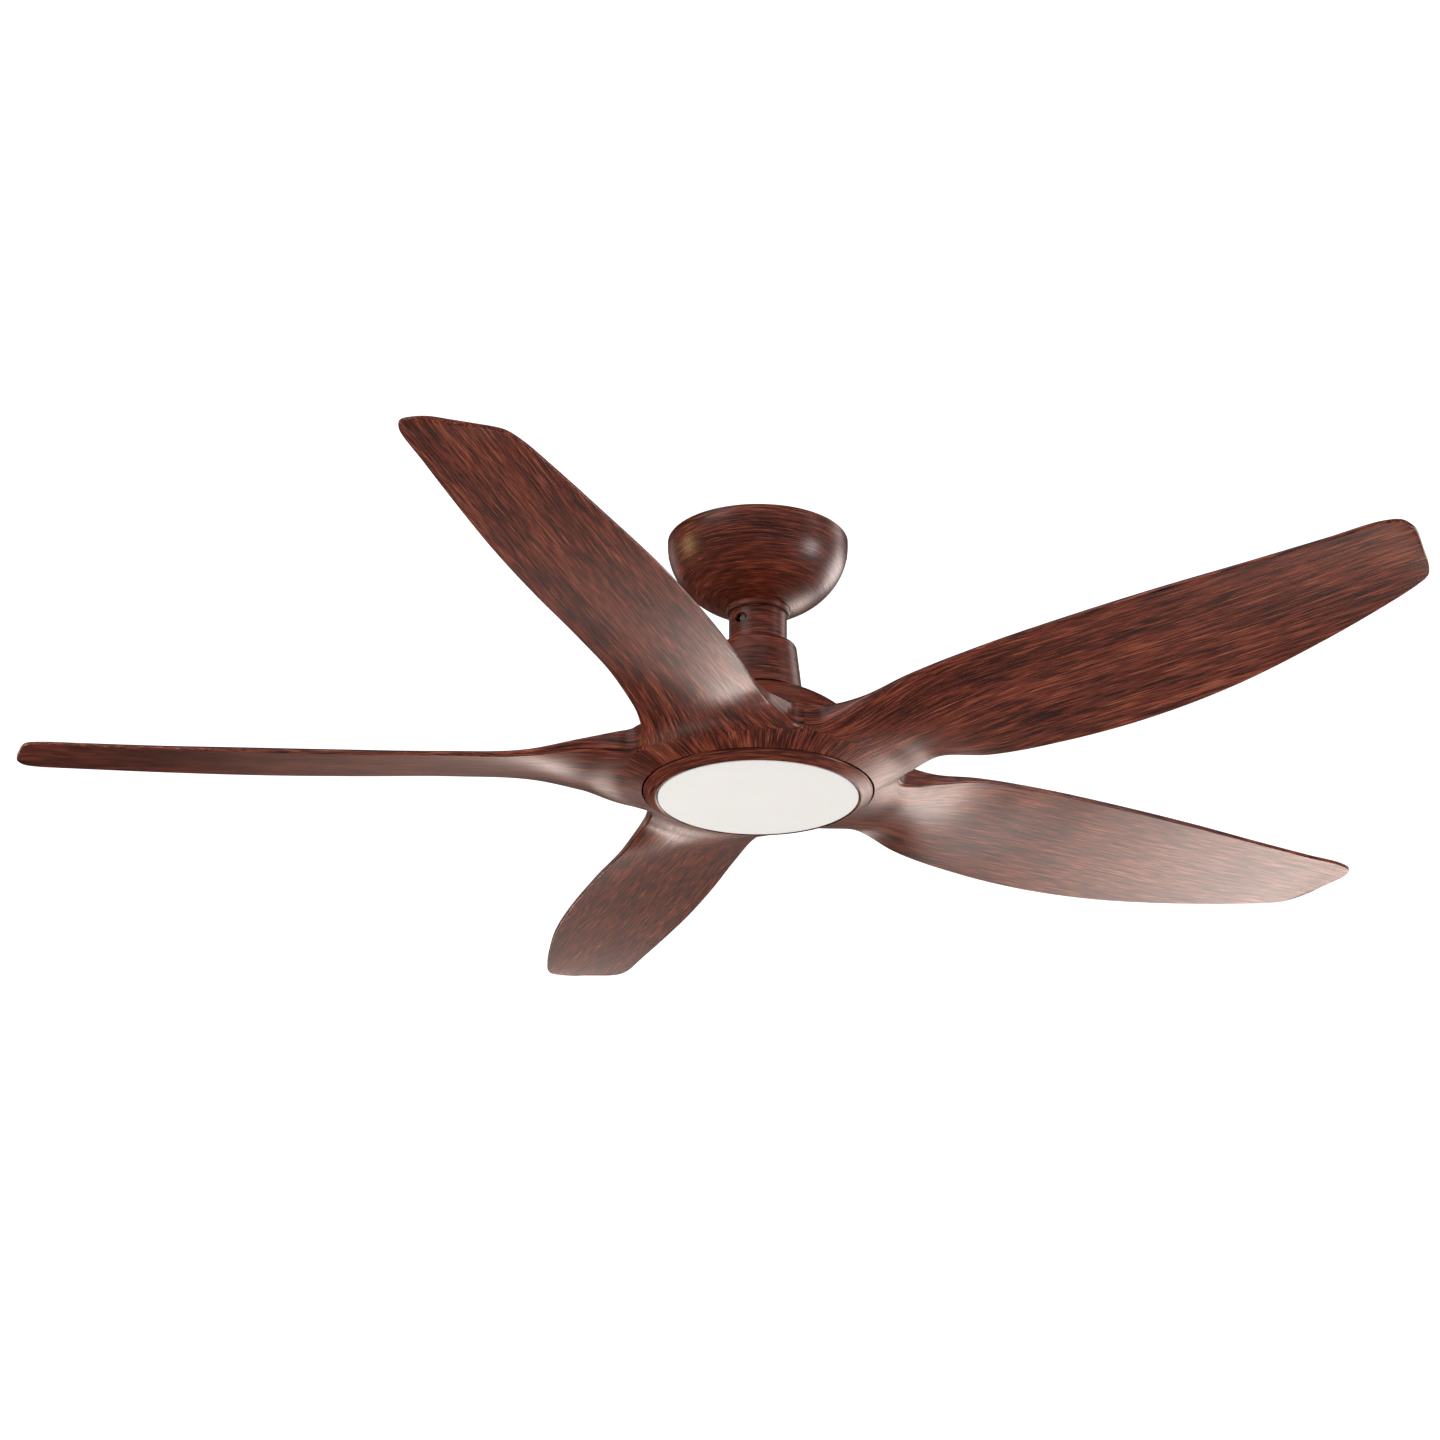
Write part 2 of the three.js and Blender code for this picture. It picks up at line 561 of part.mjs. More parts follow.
const BLADE_SCREWS_DEG = [-19, 21]; // either side of the blade's own direction

function screwSites() {
  return Array.from({ length: BLADE_COUNT }, (_, i) => FIRST_BLADE_DEG + BLADE_STEP_DEG * i)
    .flatMap((blade) => BLADE_SCREWS_DEG.map((turn) => polar(BLADE_SCREW_R, blade + turn)));
}

// The root is cut back over the light and under the motor's flange, and drilled for its two screws.
function blade() {
  const local = (z) => z - ROTOR_Z;
  const lightRecess = disc(LIGHT_RECESS_R, local(TONGUE_END_Z), local(-260), 2 * SMOOTH);
  const motorRecess = disc(TONGUE_R, 50, -80, SMOOTH);
  const flangeSeat = disc(FLANGE_R + 1, 50, local(FLANGE_END_Z - GAP), SMOOTH);
  const holes = BLADE_SCREWS_DEG.map((turn) => {
    const { x, y } = polar(BLADE_SCREW_R, turn);
    return post(2.9, x, y, 20, -20);
  });
  return cut(bladeLoft(), lightRecess, motorRecess, flangeSeat, ...holes);
}

// ---------------------------------------------------------------- light kit

const PAN_TOP_Z = -219;
const PAN_R = 94;
const LIP_R = 88.2; // opening of the ring round the lens
const HOOK_R = 80.5; // collar inside the lens's wall that carries its lugs
const HOOK_FLANGE_R = 84.4;
const HOOK_TOP_Z = -239.4;
const HOOK_END_Z = -241.2;
const LUG_SPAN_DEG = 12;
const LUGS_DEG = Array.from({ length: LUG_COUNT }, (_, i) => (360 / LUG_COUNT) * i);
const STOP_SPAN_DEG = 4; // the stops stand beside a lug in either end position
const LENS_WALL = 2.2;
const LIGHT_SCREW_R = 45;
const LIGHT_SCREWS_DEG = [30, 150, 270];
const LIGHT_SCREW_SEAT_Z = PAN_TOP_Z - 2 - GAP;
const BOARD_TOP_Z = -229;

function lightPlate() {
  const plate = disc(56, -215, -217.5, PLAIN);
  const holes = LIGHT_SCREWS_DEG.map((degrees) => {
    const { x, y } = polar(LIGHT_SCREW_R, degrees);
    return post(2.3, x, y, -210, -222);
  });
  return cut(plate, disc(SHAFT_R + GAP, -210, -222, PLAIN), ...holes);
}

function shaftNut() {
  return cut(hexagon(24, 0, 0, -217.8, -224), disc(SHAFT_R + GAP, -210, -230, PLAIN));
}

// The pan with its wooden ring. A collar inside it carries the lugs of the lens, and its flange opens where
// they pass.
function lightHousing() {
  const pan = turned([
    [30, PAN_TOP_Z], [PAN_R, PAN_TOP_Z], [PAN_R, RING_EDGE_Z + 4], [RING_R - 1, RING_EDGE_Z + 2.2],
    [RING_R, RING_EDGE_Z], [98.5, RING_EDGE_Z - 1.8], [89.6, LENS_Z + 0.5], [LIP_R, LENS_Z + 1],
    [LIP_R, RING_EDGE_Z + 2.2], [PAN_R - 2, RING_EDGE_Z + 4], [PAN_R - 2, PAN_TOP_Z - 2],
    [HOOK_R, PAN_TOP_Z - 2], [HOOK_R, HOOK_TOP_Z], [HOOK_FLANGE_R, HOOK_TOP_Z], [HOOK_FLANGE_R, HOOK_END_Z],
    [HOOK_R - 1.8, HOOK_END_Z], [HOOK_R - 1.8, PAN_TOP_Z - 2], [30, PAN_TOP_Z - 2],
  ]);
  const slotSpan = LUG_SPAN_DEG + 2;
  const slots = LUGS_DEG.map((at) =>
    sector(HOOK_R + 0.1, HOOK_FLANGE_R + 2, HOOK_TOP_Z + 0.5, HOOK_END_Z - 1, at - TWIST_DEG, slotSpan));
  const stops = LUGS_DEG.flatMap((at) => [at + 9, at - TWIST_DEG - 9.4]).map((at) =>
    sector(HOOK_R - 0.5, HOOK_FLANGE_R, HOOK_TOP_Z + 3, HOOK_TOP_Z - 0.5, at, STOP_SPAN_DEG));
  const holes = LIGHT_SCREWS_DEG.map((degrees) => {
    const { x, y } = polar(LIGHT_SCREW_R, degrees);
    return post(2.3, x, y, -210, -225);
  });
  return cut(fuse(pan, ...stops), ...slots, ...holes);
}

const lightScrew = (degrees) => screw(polar(LIGHT_SCREW_R, degrees), LIGHT_SCREW_SEAT_Z, 1, 3.8, 2.2, 2, 6.8);

function lightDiffuser() {
  const glass = turned([
    [0, LENS_Z], [LENS_R - 2.4, LENS_Z], [LENS_R - 0.7, LENS_Z + 0.7], [LENS_R, LENS_Z + 2.4],
    [LENS_R, LENS_TOP_Z], [LENS_R - LENS_WALL, LENS_TOP_Z], [LENS_R - LENS_WALL, LENS_Z + 3.6],
    [LENS_R - 4.4, LENS_Z + LENS_WALL], [0, LENS_Z + LENS_WALL],
  ]);
  const lugs = LUGS_DEG.map((at) =>
    sector(HOOK_R + 0.7, LENS_R - 1, HOOK_TOP_Z + 2.8, HOOK_TOP_Z + GAP, at, LUG_SPAN_DEG));
  return fuse(glass, ...lugs);
}

function ledBoard() {
  const board = disc(74, BOARD_TOP_Z, BOARD_TOP_Z - 1.6, PLAIN);
  const posts = [60, 180, 300].map((degrees) => {
    const { x, y } = polar(62, degrees);
    return post(3, x, y, LIGHT_SCREW_SEAT_Z, BOARD_TOP_Z - 0.5);
  });
  const leds = [24, 44, 64].flatMap((radius, ring) =>
    Array.from({ length: 6 + 3 * ring }, (_, i) => {
      const { x, y } = polar(radius, (360 / (6 + 3 * ring)) * i + 9 * ring);
      return block(x, y, BOARD_TOP_Z - 1.8, 3.2, 3.2, 1.4);
    }));
  return fuse(board, ...posts, ...leds);
}

function ledDriver() {
  return block(0, 26, -225.6, 26, 18, 5.6);
}

// ---------------------------------------------------------------- wiring inside the rod

// Leads from the receiver down through the rod, past the cross pins on one side, and down the hollow shaft.
function wireLoom() {
  const side = (distance, z) => polar(distance, PIN_DEG - 90, z);
  const path = new THREE.CatmullRomCurve3([
    side(0, -13), side(2, -18), side(5.6, -28), side(5.7, -40), side(5.7, -60), side(5.7, -80),
    side(5.7, -100), side(5.7, -113), side(3, -121), side(0, -130), side(0, -170), side(0, -222),
    side(0, -227),
  ]);
  const section = new THREE.Shape().absarc(0, 0, 1.9, 0, 2 * Math.PI, false);
  return solid(new THREE.ExtrudeGeometry(section, { steps: 24, extrudePath: path, curveSegments: 2 }));
}

// ---------------------------------------------------------------- assembly

place('ceiling_bracket', ceilingBracket(), STEEL);
place('canopy', canopy(), WALNUT);
place('canopy_screw_right', canopyScrew(0), DARK_STEEL);
place('canopy_screw_left', canopyScrew(180), DARK_STEEL);
place('canopy_trim_ring', canopyTrimRing(), WALNUT);
place('receiver_box', receiverBox(), BLACK_PLASTIC);
place('hanger_ball', hangerBall(), BLACK_PLASTIC);
place('hanger_pin', crossPin(3, 19, BALL_Z), STEEL);
place('downrod', downrod(), DARK_STEEL);
place('neck_sleeve', neckSleeve(), WALNUT);
place('rod_bolt', rodBolt(), DARK_STEEL);
place('rod_nut', rodNut(), DARK_STEEL);
place('coupling_yoke', couplingYoke(), ALUMINIUM);
place('clevis_pin', clevisPin(), STEEL);
place('cotter_pin', cotterPin(), STEEL);
place('yoke_set_screw_1', setScrew(90), DARK_STEEL);
place('yoke_set_screw_2', setScrew(-90), DARK_STEEL);
place('coupling_cover', couplingCover(), WALNUT);
place('wire_loom', wireLoom(), WHITE_PLASTIC);
place('motor_shaft', motorShaft(), STEEL);
place('stator_core', statorCore(), DARK_STEEL);
place('stator_windings', statorWindings(), COPPER);

place('motor_top_cover', motorTopCover(), WALNUT);
TOP_SCREWS_DEG.forEach((degrees, i) => place(`top_cover_screw_${i + 1}`, topCoverScrew(degrees), DARK_STEEL));
place('rotor_upper_shell', rotorUpperShell(), ALUMINIUM);
place('rotor_lower_shell', rotorLowerShell(), ALUMINIUM);
place('magnet_ring', magnetRing(), FERRITE);
place('upper_bearing', bearing(UPPER_BEARING_Z), STEEL);
place('lower_bearing', bearing(LOWER_BEARING_Z), STEEL);

const bladeBody = blade();
for (let i = 0; i < BLADE_COUNT; i += 1) {
  const holder = new THREE.Group();
  holder.position.z = ROTOR_Z;
  holder.rotation.z = radians(FIRST_BLADE_DEG + BLADE_STEP_DEG * i);
  fan.add(holder);
  place(`blade_${i + 1}`, bladeBody, WALNUT, holder);
}
screwSites().forEach((site, i) => {
  const name = `blade_screw_${Math.floor(i / 2) + 1}${i % 2 ? 'b' : 'a'}`;
  place(name, screw(site, TONGUE_END_Z - GAP, 1, 4.4, 2.6, 2.5, 10.8), DARK_STEEL);
});

place('light_plate', lightPlate(), STEEL);
place('shaft_nut', shaftNut(), STEEL);
place('light_housing', lightHousing(), WALNUT);
LIGHT_SCREWS_DEG.forEach((degrees, i) => place(`light_screw_${i + 1}`, lightScrew(degrees), STEEL));
place('led_board', ledBoard(), WHITE_PLASTIC);
place('led_driver', ledDriver(), BLACK_PLASTIC);
place('light_diffuser', lightDiffuser(), OPAL);

export default fan;
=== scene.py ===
"""Five-blade walnut ceiling fan with a flush light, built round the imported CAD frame. Units are metres."""

import json
import math
from collections import namedtuple

import bmesh
import bpy
from mathutils import Matrix, Vector


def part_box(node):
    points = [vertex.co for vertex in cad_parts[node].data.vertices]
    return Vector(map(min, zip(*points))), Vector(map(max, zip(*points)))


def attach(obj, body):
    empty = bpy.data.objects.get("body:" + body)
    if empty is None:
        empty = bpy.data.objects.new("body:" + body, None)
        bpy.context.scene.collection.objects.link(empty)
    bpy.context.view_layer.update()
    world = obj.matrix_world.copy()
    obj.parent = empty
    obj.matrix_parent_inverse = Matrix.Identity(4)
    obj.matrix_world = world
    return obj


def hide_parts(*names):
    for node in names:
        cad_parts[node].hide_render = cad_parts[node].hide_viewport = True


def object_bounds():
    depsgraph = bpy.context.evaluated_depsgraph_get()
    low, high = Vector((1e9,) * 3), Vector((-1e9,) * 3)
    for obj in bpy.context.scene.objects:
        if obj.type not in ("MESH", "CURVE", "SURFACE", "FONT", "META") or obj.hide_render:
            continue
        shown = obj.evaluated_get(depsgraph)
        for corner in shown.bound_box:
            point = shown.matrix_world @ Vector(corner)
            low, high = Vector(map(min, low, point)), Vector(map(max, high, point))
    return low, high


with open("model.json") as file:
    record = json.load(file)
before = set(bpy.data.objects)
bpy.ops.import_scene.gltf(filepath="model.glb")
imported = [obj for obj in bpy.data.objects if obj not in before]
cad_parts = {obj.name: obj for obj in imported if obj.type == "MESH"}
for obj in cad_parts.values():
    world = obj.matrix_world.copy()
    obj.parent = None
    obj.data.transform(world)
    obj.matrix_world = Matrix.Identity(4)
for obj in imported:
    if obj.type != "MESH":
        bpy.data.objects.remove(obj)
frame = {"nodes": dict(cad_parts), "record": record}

CAD_LO, CAD_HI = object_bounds()

MM = 0.001
SIDES = 180  # round a large turned piece
SHARP_DEG = 32  # a steeper fold than this shows as an edge
SAME_PLACE = 1e-7  # points nearer than this are joined

ROTOR_Z = -211.5 * MM  # reference plane of the blades
BLADE_COUNT = 5
FIRST_BLADE_DEG = 35.3
BLADE_STEP_DEG = 360 / BLADE_COUNT


# ---------------------------------------------------------------- meshes


def lerp(a, b, t):
    return a + (b - a) * t


def finish_mesh(name, points, faces, grain=()):
    """A closed smooth object, with coincident points joined, faces turned outwards and sharp edges marked."""
    mesh = bpy.data.meshes.new(name)
    mesh.from_pydata(points, [], faces)
    if grain:
        add_grain(mesh, grain)
    shape = bmesh.new()
    shape.from_mesh(mesh)
    bmesh.ops.remove_doubles(shape, verts=shape.verts, dist=SAME_PLACE)
    if shape.calc_volume(signed=True) < 0:
        bmesh.ops.reverse_faces(shape, faces=shape.faces)
    shape.to_mesh(mesh)
    shape.free()
    mesh.polygons.foreach_set("use_smooth", [True] * len(mesh.polygons))
    mesh.set_sharp_from_angle(angle=math.radians(SHARP_DEG))
    piece = bpy.data.objects.new(name, mesh)
    bpy.context.scene.collection.objects.link(piece)
    return piece


def add_grain(mesh, places):
    """Stores every point's place in the wood, in metres."""
    if "grain" not in mesh.attributes:
        mesh.attributes.new("grain", "FLOAT_VECTOR", "POINT")
    flat = [value for place in places for value in place]
    mesh.attributes["grain"].data.foreach_set("vector", flat)


def rounded(corners, steps=5):
    """Closed outline through (radius, z, rounding) corners in mm, each turned into an arc of that rounding.
    A corner that hardly turns becomes a short straight run, with as many points."""
    straight, short_run = math.radians(89), 0.1
    most_of_side = 0.49  # the arcs at both ends of a side must fit on it
    outline = []
    count = len(corners)
    for i, (r, z, rounding) in enumerate(corners):
        here = Vector((r, z))
        if rounding == 0:
            outline.append(here)
            continue
        before = Vector(corners[i - 1][:2]) - here
        after = Vector(corners[(i + 1) % count][:2]) - here
        half = before.angle(after) / 2
        if half > straight:
            outline += [here + after.normalized() * short_run * (k / steps - 0.5) for k in range(steps + 1)]
            continue
        reach = min(rounding / math.tan(half), most_of_side * before.length, most_of_side * after.length)
        radius = reach * math.tan(half)
        centre = here + (before.normalized() + after.normalized()).normalized() * radius / math.sin(half)
        start = here + before.normalized() * reach - centre
        end = here + after.normalized() * reach - centre
        sweep = start.angle(end)
        turn = 1 if start.x * end.y - start.y * end.x > 0 else -1
        for k in range(steps + 1):
            a = turn * sweep * k / steps
            outline.append(centre + Matrix.Rotation(a, 2) @ start)
    return outline


def turned(name, outline_at, breaks_deg=(), sides=SIDES):
    """Turns a closed outline in mm about the fan's axis. outline_at(degrees) keeps its number of points.
    breaks_deg are the extra directions where it steps."""
    directions = sorted({360 * i / sides for i in range(sides)} | {b % 360 for b in breaks_deg})
    points, faces = [], []
    for degrees in directions:
        outline = outline_at(degrees)
        x, y = math.cos(math.radians(degrees)), math.sin(math.radians(degrees))
        points += [(p.x * x * MM, p.x * y * MM, p.y * MM) for p in outline]
    size = len(outline)
    for i in range(len(directions)):
        a, b = i * size, (i + 1) % len(directions) * size
        for j in range(size):
            k = (j + 1) % size
            faces.append((a + j, b + j, b + k, a + k))
    return finish_mesh(name, points, faces)


def wound(piece, seed, slope):
    """Gives a turned piece its places in the wood, with the grain running round the axis. slope is 1 where
    the piece widens downwards, else -1."""
    points = [v.co for v in piece.data.vertices]
    radii = [math.hypot(p.x, p.y) for p in points]
    mean = max(radii) * 0.8
    turns = [math.atan2(p.y, p.x) for p in points]
    across = [slope * r - p.z for r, p in zip(radii, points)]
    add_grain(piece.data, [
        (mean * math.cos(a) + seed, mean * math.sin(a), d + seed) for a, d in zip(turns, across)
    ])
    return piece


def drilled(piece, cutters):
    """Cuts the cutters out of piece and removes them."""
    for cutter in cutters:
        modifier = piece.modifiers.new("hole", "BOOLEAN")
        modifier.object = cutter
        modifier.solver = "EXACT"
    bpy.context.view_layer.update()
    mesh = bpy.data.meshes.new_from_object(piece.evaluated_get(bpy.context.evaluated_depsgraph_get()))
    piece.modifiers.clear()
    piece.data = mesh
    mesh.set_sharp_from_angle(angle=math.radians(SHARP_DEG))
    for cutter in cutters:
        bpy.data.objects.remove(cutter)
    return piece


def radial_cutter(near, far, z, angle, near_size, far_size):
    """Oval bar along the horizontal direction `angle`, from one distance to another in mm. Each size is the
    half width and half height at that end."""
    count = 32
    points = []
    for distance, (half_width, half_height) in ((near, near_size), (far, far_size)):
        for i in range(count):
            a = 2 * math.pi * i / count
            local = Vector((distance, half_width * math.cos(a), half_height * math.sin(a) + z)) * MM
            points.append(Matrix.Rotation(math.radians(angle), 3, "Z") @ local)
    faces = [(i, (i + 1) % count, count + (i + 1) % count, count + i) for i in range(count)]
    faces += [tuple(range(count))[::-1], tuple(range(count, 2 * count))]
    return finish_mesh("cutter", points, faces)


def stand_in(piece, node, material, body):
    """piece takes the place of the CAD node of that name and moves with its body."""
    piece.data.materials.append(material)
    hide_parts(node)
    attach(piece, body)
    return piece


# ---------------------------------------------------------------- turned walnut pieces


def height(node):
    """Top and end of a CAD node, in mm."""
    lo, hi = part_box(node)
    return hi.z / MM, lo.z / MM


def radius(node):
    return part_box(node)[1].x / MM


def canopy():
    """A quarter ellipse turned about the axis, with a short upright skirt against the ceiling."""
    r = radius("canopy")
    hole, skirt, depth, wall = 29, 4, 66.5, 1.5
    chamfer, steps = 0.4, 36

    def curve(r, depth):
        end = math.acos(hole / r)
        angles = [end * i / steps for i in range(steps + 1)]
        return [Vector((r * math.cos(a), -skirt - depth * math.sin(a))) for a in angles]

    lip = [Vector((r - chamfer, 0)), Vector((r, -chamfer))]
    inside = [*reversed(curve(r - wall, depth - wall)), Vector((r - wall, 0))]
    outline = [*lip, *curve(r, depth), *inside]
    screw_z, tip_r, head_r = -12, (1.2, 1.2), (5.9, 5.9)
    seats = [radial_cutter(76, 81, screw_z, degrees, tip_r, head_r) for degrees in (0, 180)]
    return wound(drilled(turned("canopy_shell", lambda degrees: outline), seats), 0.31, -1)


def canopy_collar():
    bore = 26.2
    top, end = height("canopy_trim_ring")
    outline = rounded([
        (bore, top, 0.2), (31.5, top, 0.3), (31.5, top - 1.5, 0.3), (28.6, top - 1.5, 0.2),
        (28.6, end, 1.6), (bore, end, 0.3),
    ])
    return wound(turned("canopy_collar", lambda degrees: outline), 0.47, -1)


def neck():
    """Sleeve with an oval hole. The hole is cut last, so that its wall is part of the mesh."""
    r = radius("neck_sleeve")
    top, end = height("neck_sleeve")
    wall, rings = 2, 24
    side = [(r, lerp(top, end, t / rings)) for t in range(rings + 1)]
    inner = [(r - wall, z) for _, z in reversed(side)]
    outline = [Vector(p) for p in [*side, *inner]]
    hole_z, hole_deg, hole_size = -81.5, -127, (6.3, 4.6)
    hole = radial_cutter(r - 6, r + 6, hole_z, hole_deg, hole_size, hole_size)
    return wound(drilled(turned("neck", lambda degrees: outline), [hole]), 0.63, 1)


def coupling():
    """Tapered cover over the joint of rod and motor shaft, with a rounded shoulder."""
    top, end = height("coupling_cover")
    bore, wall_z = 26.2, 3.5
    outline = rounded([
        (bore, top, 0.3), (34, top - 1, 7), (39.3, end, 0.5),
        (37.6, end, 0.3), (32.3, top - wall_z, 5), (bore, top - wall_z, 0.2),
    ], 10)
    return wound(turned("coupling_bell", lambda degrees: outline), 0.79, 1)


def dome():
    """Part of a sphere round the motor, flat in the middle and standing on the rotor's flange."""
    top, end = height("motor_top_cover")
    sphere, flat, bore, wall, steps = 122.4, 38, 24, 2, 40
    centre = top - math.sqrt(sphere**2 - flat**2)
    start = math.asin(flat / sphere)

    def arc(r):
        stop = math.acos((end - centre) / r)
        angles = [lerp(start, stop, i / steps) for i in range(steps + 1)]
        return [Vector((r * math.sin(a), centre + r * math.cos(a))) for a in angles]

    inside = [Vector((bore, top - wall)), *arc(sphere - wall)]
    outline = [Vector((bore, top)), *arc(sphere), *reversed(inside)]
    return wound(turned("motor_dome", lambda degrees: outline), 0.95, 1)


# ---------------------------------------------------------------- light

LUGS_DEG = [0, 120, 240]
LUG_SPAN_DEG = 12
TWIST_DEG = 20


def near(degrees, centres, half):
    return any(abs((degrees - c + 180) % 360 - 180) < half for c in centres)


def steps_at(centres, half):
    """Directions just inside and just outside each of the stretches."""
    tiny = 0.04
    return [c + side * (half + offset) for c in centres for side in (-1, 1) for offset in (-tiny, tiny)]


def light_ring():
    """Pan and wooden ring of the light. The collar inside holds the lens's lugs and opens where they pass."""
    top, end = height("light_housing")
    slots = [lug - TWIST_DEG for lug in LUGS_DEG]
    half = LUG_SPAN_DEG / 2 + 1
    bore, wall, under = 30, 1.8, top - 2
    hook, hook_top, hook_end = 80.5, -239.4, -241.2

    def outline(degrees):
        flange = hook + 0.1 if near(degrees, slots, half) else 84.4
        pan = [(bore, top, 0), (94, top, 1.2), (94, end + 10, 0.6)]
        ring = [(100, end + 8.4, 1.4), (100, end + 5.6, 2.2), (89.6, end + 0.2, 0.9), (88.2, end + 1.2, 0.3)]
        inside = [(88.2, end + 8.4, 0.2), (92, end + 10, 0.2), (92, under, 0.5), (hook, under, 0.5)]
        collar = [
            (hook, hook_top, 0), (flange, hook_top, 0), (flange, hook_end, 0),
            (hook - wall, hook_end, 0.2), (hook - wall, under, 0.5), (bore, under, 0),
        ]
        return rounded([*pan, *ring, *inside, *collar])

    return wound(turned("light_ring", outline, steps_at(slots, half), 2 * SIDES), 1.11, -1)


def lens():
    """Flat opal lens with a rounded rim and three lugs inside its wall."""
    top, end = height("light_diffuser")
    face, wall = 87.4, 2.2
    lug_top, lug_end = -236.6, -239.1
    half = LUG_SPAN_DEG / 2

    def outline(degrees):
        lug = 81.2 if near(degrees, LUGS_DEG, half) else face - wall
        rings = [Vector((face * t / 10, end)) for t in range(1, 10)]
        rim = rounded([
            (face, end, 2.4), (face, top, 0.4), (face - wall, top, 0.2),
            (face - wall, lug_top, 0), (lug, lug_top, 0), (lug, lug_end, 0), (face - wall, lug_end, 0),
            (face - wall, end + wall, 1.5),
        ], 6)
        inner = [Vector((p.x, end + wall)) for p in reversed(rings)]
        return [Vector((0, end)), *rings, *rim, *inner, Vector((0, end + wall))]

    return turned("opal_lens", outline, steps_at(LUGS_DEG, half), 2 * SIDES)


# ---------------------------------------------------------------- blades

SEAM_DEG = 37  # a blade's root ends here on its trailing side
LEADING_SEAM_DEG = SEAM_DEG - BLADE_STEP_DEG
SEAM_INSET_DEG = 0.04  # half of the hairline gap between two blades
NOTCH_R = 21.5  # fillet in plan between two blades, and where its centre lies on the seam
NOTCH_CENTRE_R = 145.5
SEAM_RADII = [101.5, 113, 124]
ROOT_RADII = [101.5, 113, 124, 133, 147, 165]
ROOT_EDGE = [-27.2, -21.4, -17, -14.6, -12.6, -11.5]  # underside at the seams, by distance off the axis
ROOT_BELLY = [0, 2.6, 4.2, 5, 5.5, 5]  # how much lower it is in the middle
ROOT_TURN = 1 / BLADE_STEP_DEG  # the seams lie a degree off the middle between two blades
NOTCH_ROLL = 4  # rounding between the underside and the wall at the bottom of the notch
ROOT_TOP = 7
ROOT_GIVES_WAY = (122, 165)  # from and to this distance off the axis, to the blade's own underside
GRAIN_WIDTH = 130  # of the board that a root is cut from
GRAIN_FANS_TO = 150  # up to this x the grain follows the root's outline
GRAIN_STRAIGHT_FROM = 260  # past this x it runs straight along the blade
GRAIN_FOLLOWS_LOW = 0.9  # how much it follows the underside's height, so that few lines are cut across

# Heights in mm above the rotor plane: underside and thickness at the leading and the trailing edge, how far
# the underside bellies down between them, thickness in the middle, and how much of an arc the section is.
Section = namedtuple("Section", "lead_z lead_edge trail_z trail_edge belly middle arc")
SEAM_SECTIONS = [Section(-27.2, 34.2, -27.2, 34.2, 0, 34.2, 1), Section(-20.5, 27.5, -20.5, 27.5, 4, 31.5, 1)]
NOTCH_SECTIONS = [
    Section(-14, 20, -14, 20, 8, 28.5, 1),
    Section(-12.5, 17, -13.5, 18, 8.4, 27.5, 0.9),
    Section(-11, 14.5, -13, 16.5, 8.4, 26, 0.85),
]
# Plan point of the leading edge, of the trailing edge, and the section between them, from the root outwards.
STATIONS = [
    ((150, -57.5), (149, 60.7), Section(-4.5, 9.2, -11.5, 10.3, 8, 21, 0.6)),
    ((197, -59), (196, 66.3), Section(7.3, 4.2, -19.7, 6, 4, 14.5, 0.25)),
    ((273, -62.7), (271, 74.2), Section(13.2, 3.5, -22.2, 3.5, 1, 11, 0)),
    ((359, -66.4), (356, 75.3), Section(15.2, 3.5, -21, 3.5, -1, 10, 0)),
    ((444, -67), (440, 68.7), Section(16.8, 3.5, -15.5, 3.5, -1.5, 9, 0)),
    ((533, -64), (527, 53.3), Section(19, 3, -6, 3, -1.5, 8, 0)),
    ((594, -61.2), (585, 40.5), Section(21, 3, 2, 3, -1, 7, 0)),
    ((643, -58.8), (624, 29.8), Section(22.8, 3, 8, 3, -0.5, 6, 0)),
    ((655.2, -53), (638, 22.4), Section(22.6, 3, 10.3, 3, 0, 5, 0)),
    ((658.6, -41.5), (645.7, 8), Section(21.4, 3, 12.5, 3, 0, 4, 0)),
    ((658.2, -34.5), (647.9, 0.5), Section(20.8, 3, 13.6, 3, 0, 3.8, 0)),
    ((656.8, -28.5), (649.8, -6), Section(20.2, 3, 14.6, 3, 0, 3.6, 0)),
]
SECTIONS = [*SEAM_SECTIONS, *NOTCH_SECTIONS, *[section for _, _, section in STATIONS]]
LAST_SEAM = len(SEAM_SECTIONS)
LAST_NOTCH = LAST_SEAM + len(NOTCH_SECTIONS) - 1
LAST_STATION = len(SECTIONS) - 1


def polar(r, degrees):
    return Vector((r * math.cos(math.radians(degrees)), r * math.sin(math.radians(degrees))))


def catmull(a, b, c, d, t):
    """Centripetal Catmull-Rom curve from b to c, for vectors."""
    k = [0.0]
    for p, q in ((a, b), (b, c), (c, d)):
        k.append(k[-1] + max((q - p).length, 1e-4) ** 0.5)
    s = lerp(k[1], k[2], t)

    def mix(p, q, i, j):
        return p * ((k[j] - s) / (k[j] - k[i])) + q * ((s - k[i]) / (k[j] - k[i]))

    ab, bc, cd = mix(a, b, 0, 1), mix(b, c, 1, 2), mix(c, d, 2, 3)
    return mix(mix(ab, bc, 0, 2), mix(bc, cd, 1, 3), 1, 2)


def through(points, at):
    """Point of a smooth curve through points, counted from the first one."""
    i = min(int(at), len(points) - 2)
    before = points[i - 1] if i else points[0] * 2 - points[1]
    after = points[i + 2] if i + 2 < len(points) else points[-1] * 2 - points[-2]
    return catmull(before, points[i], points[i + 1], after, at - i)


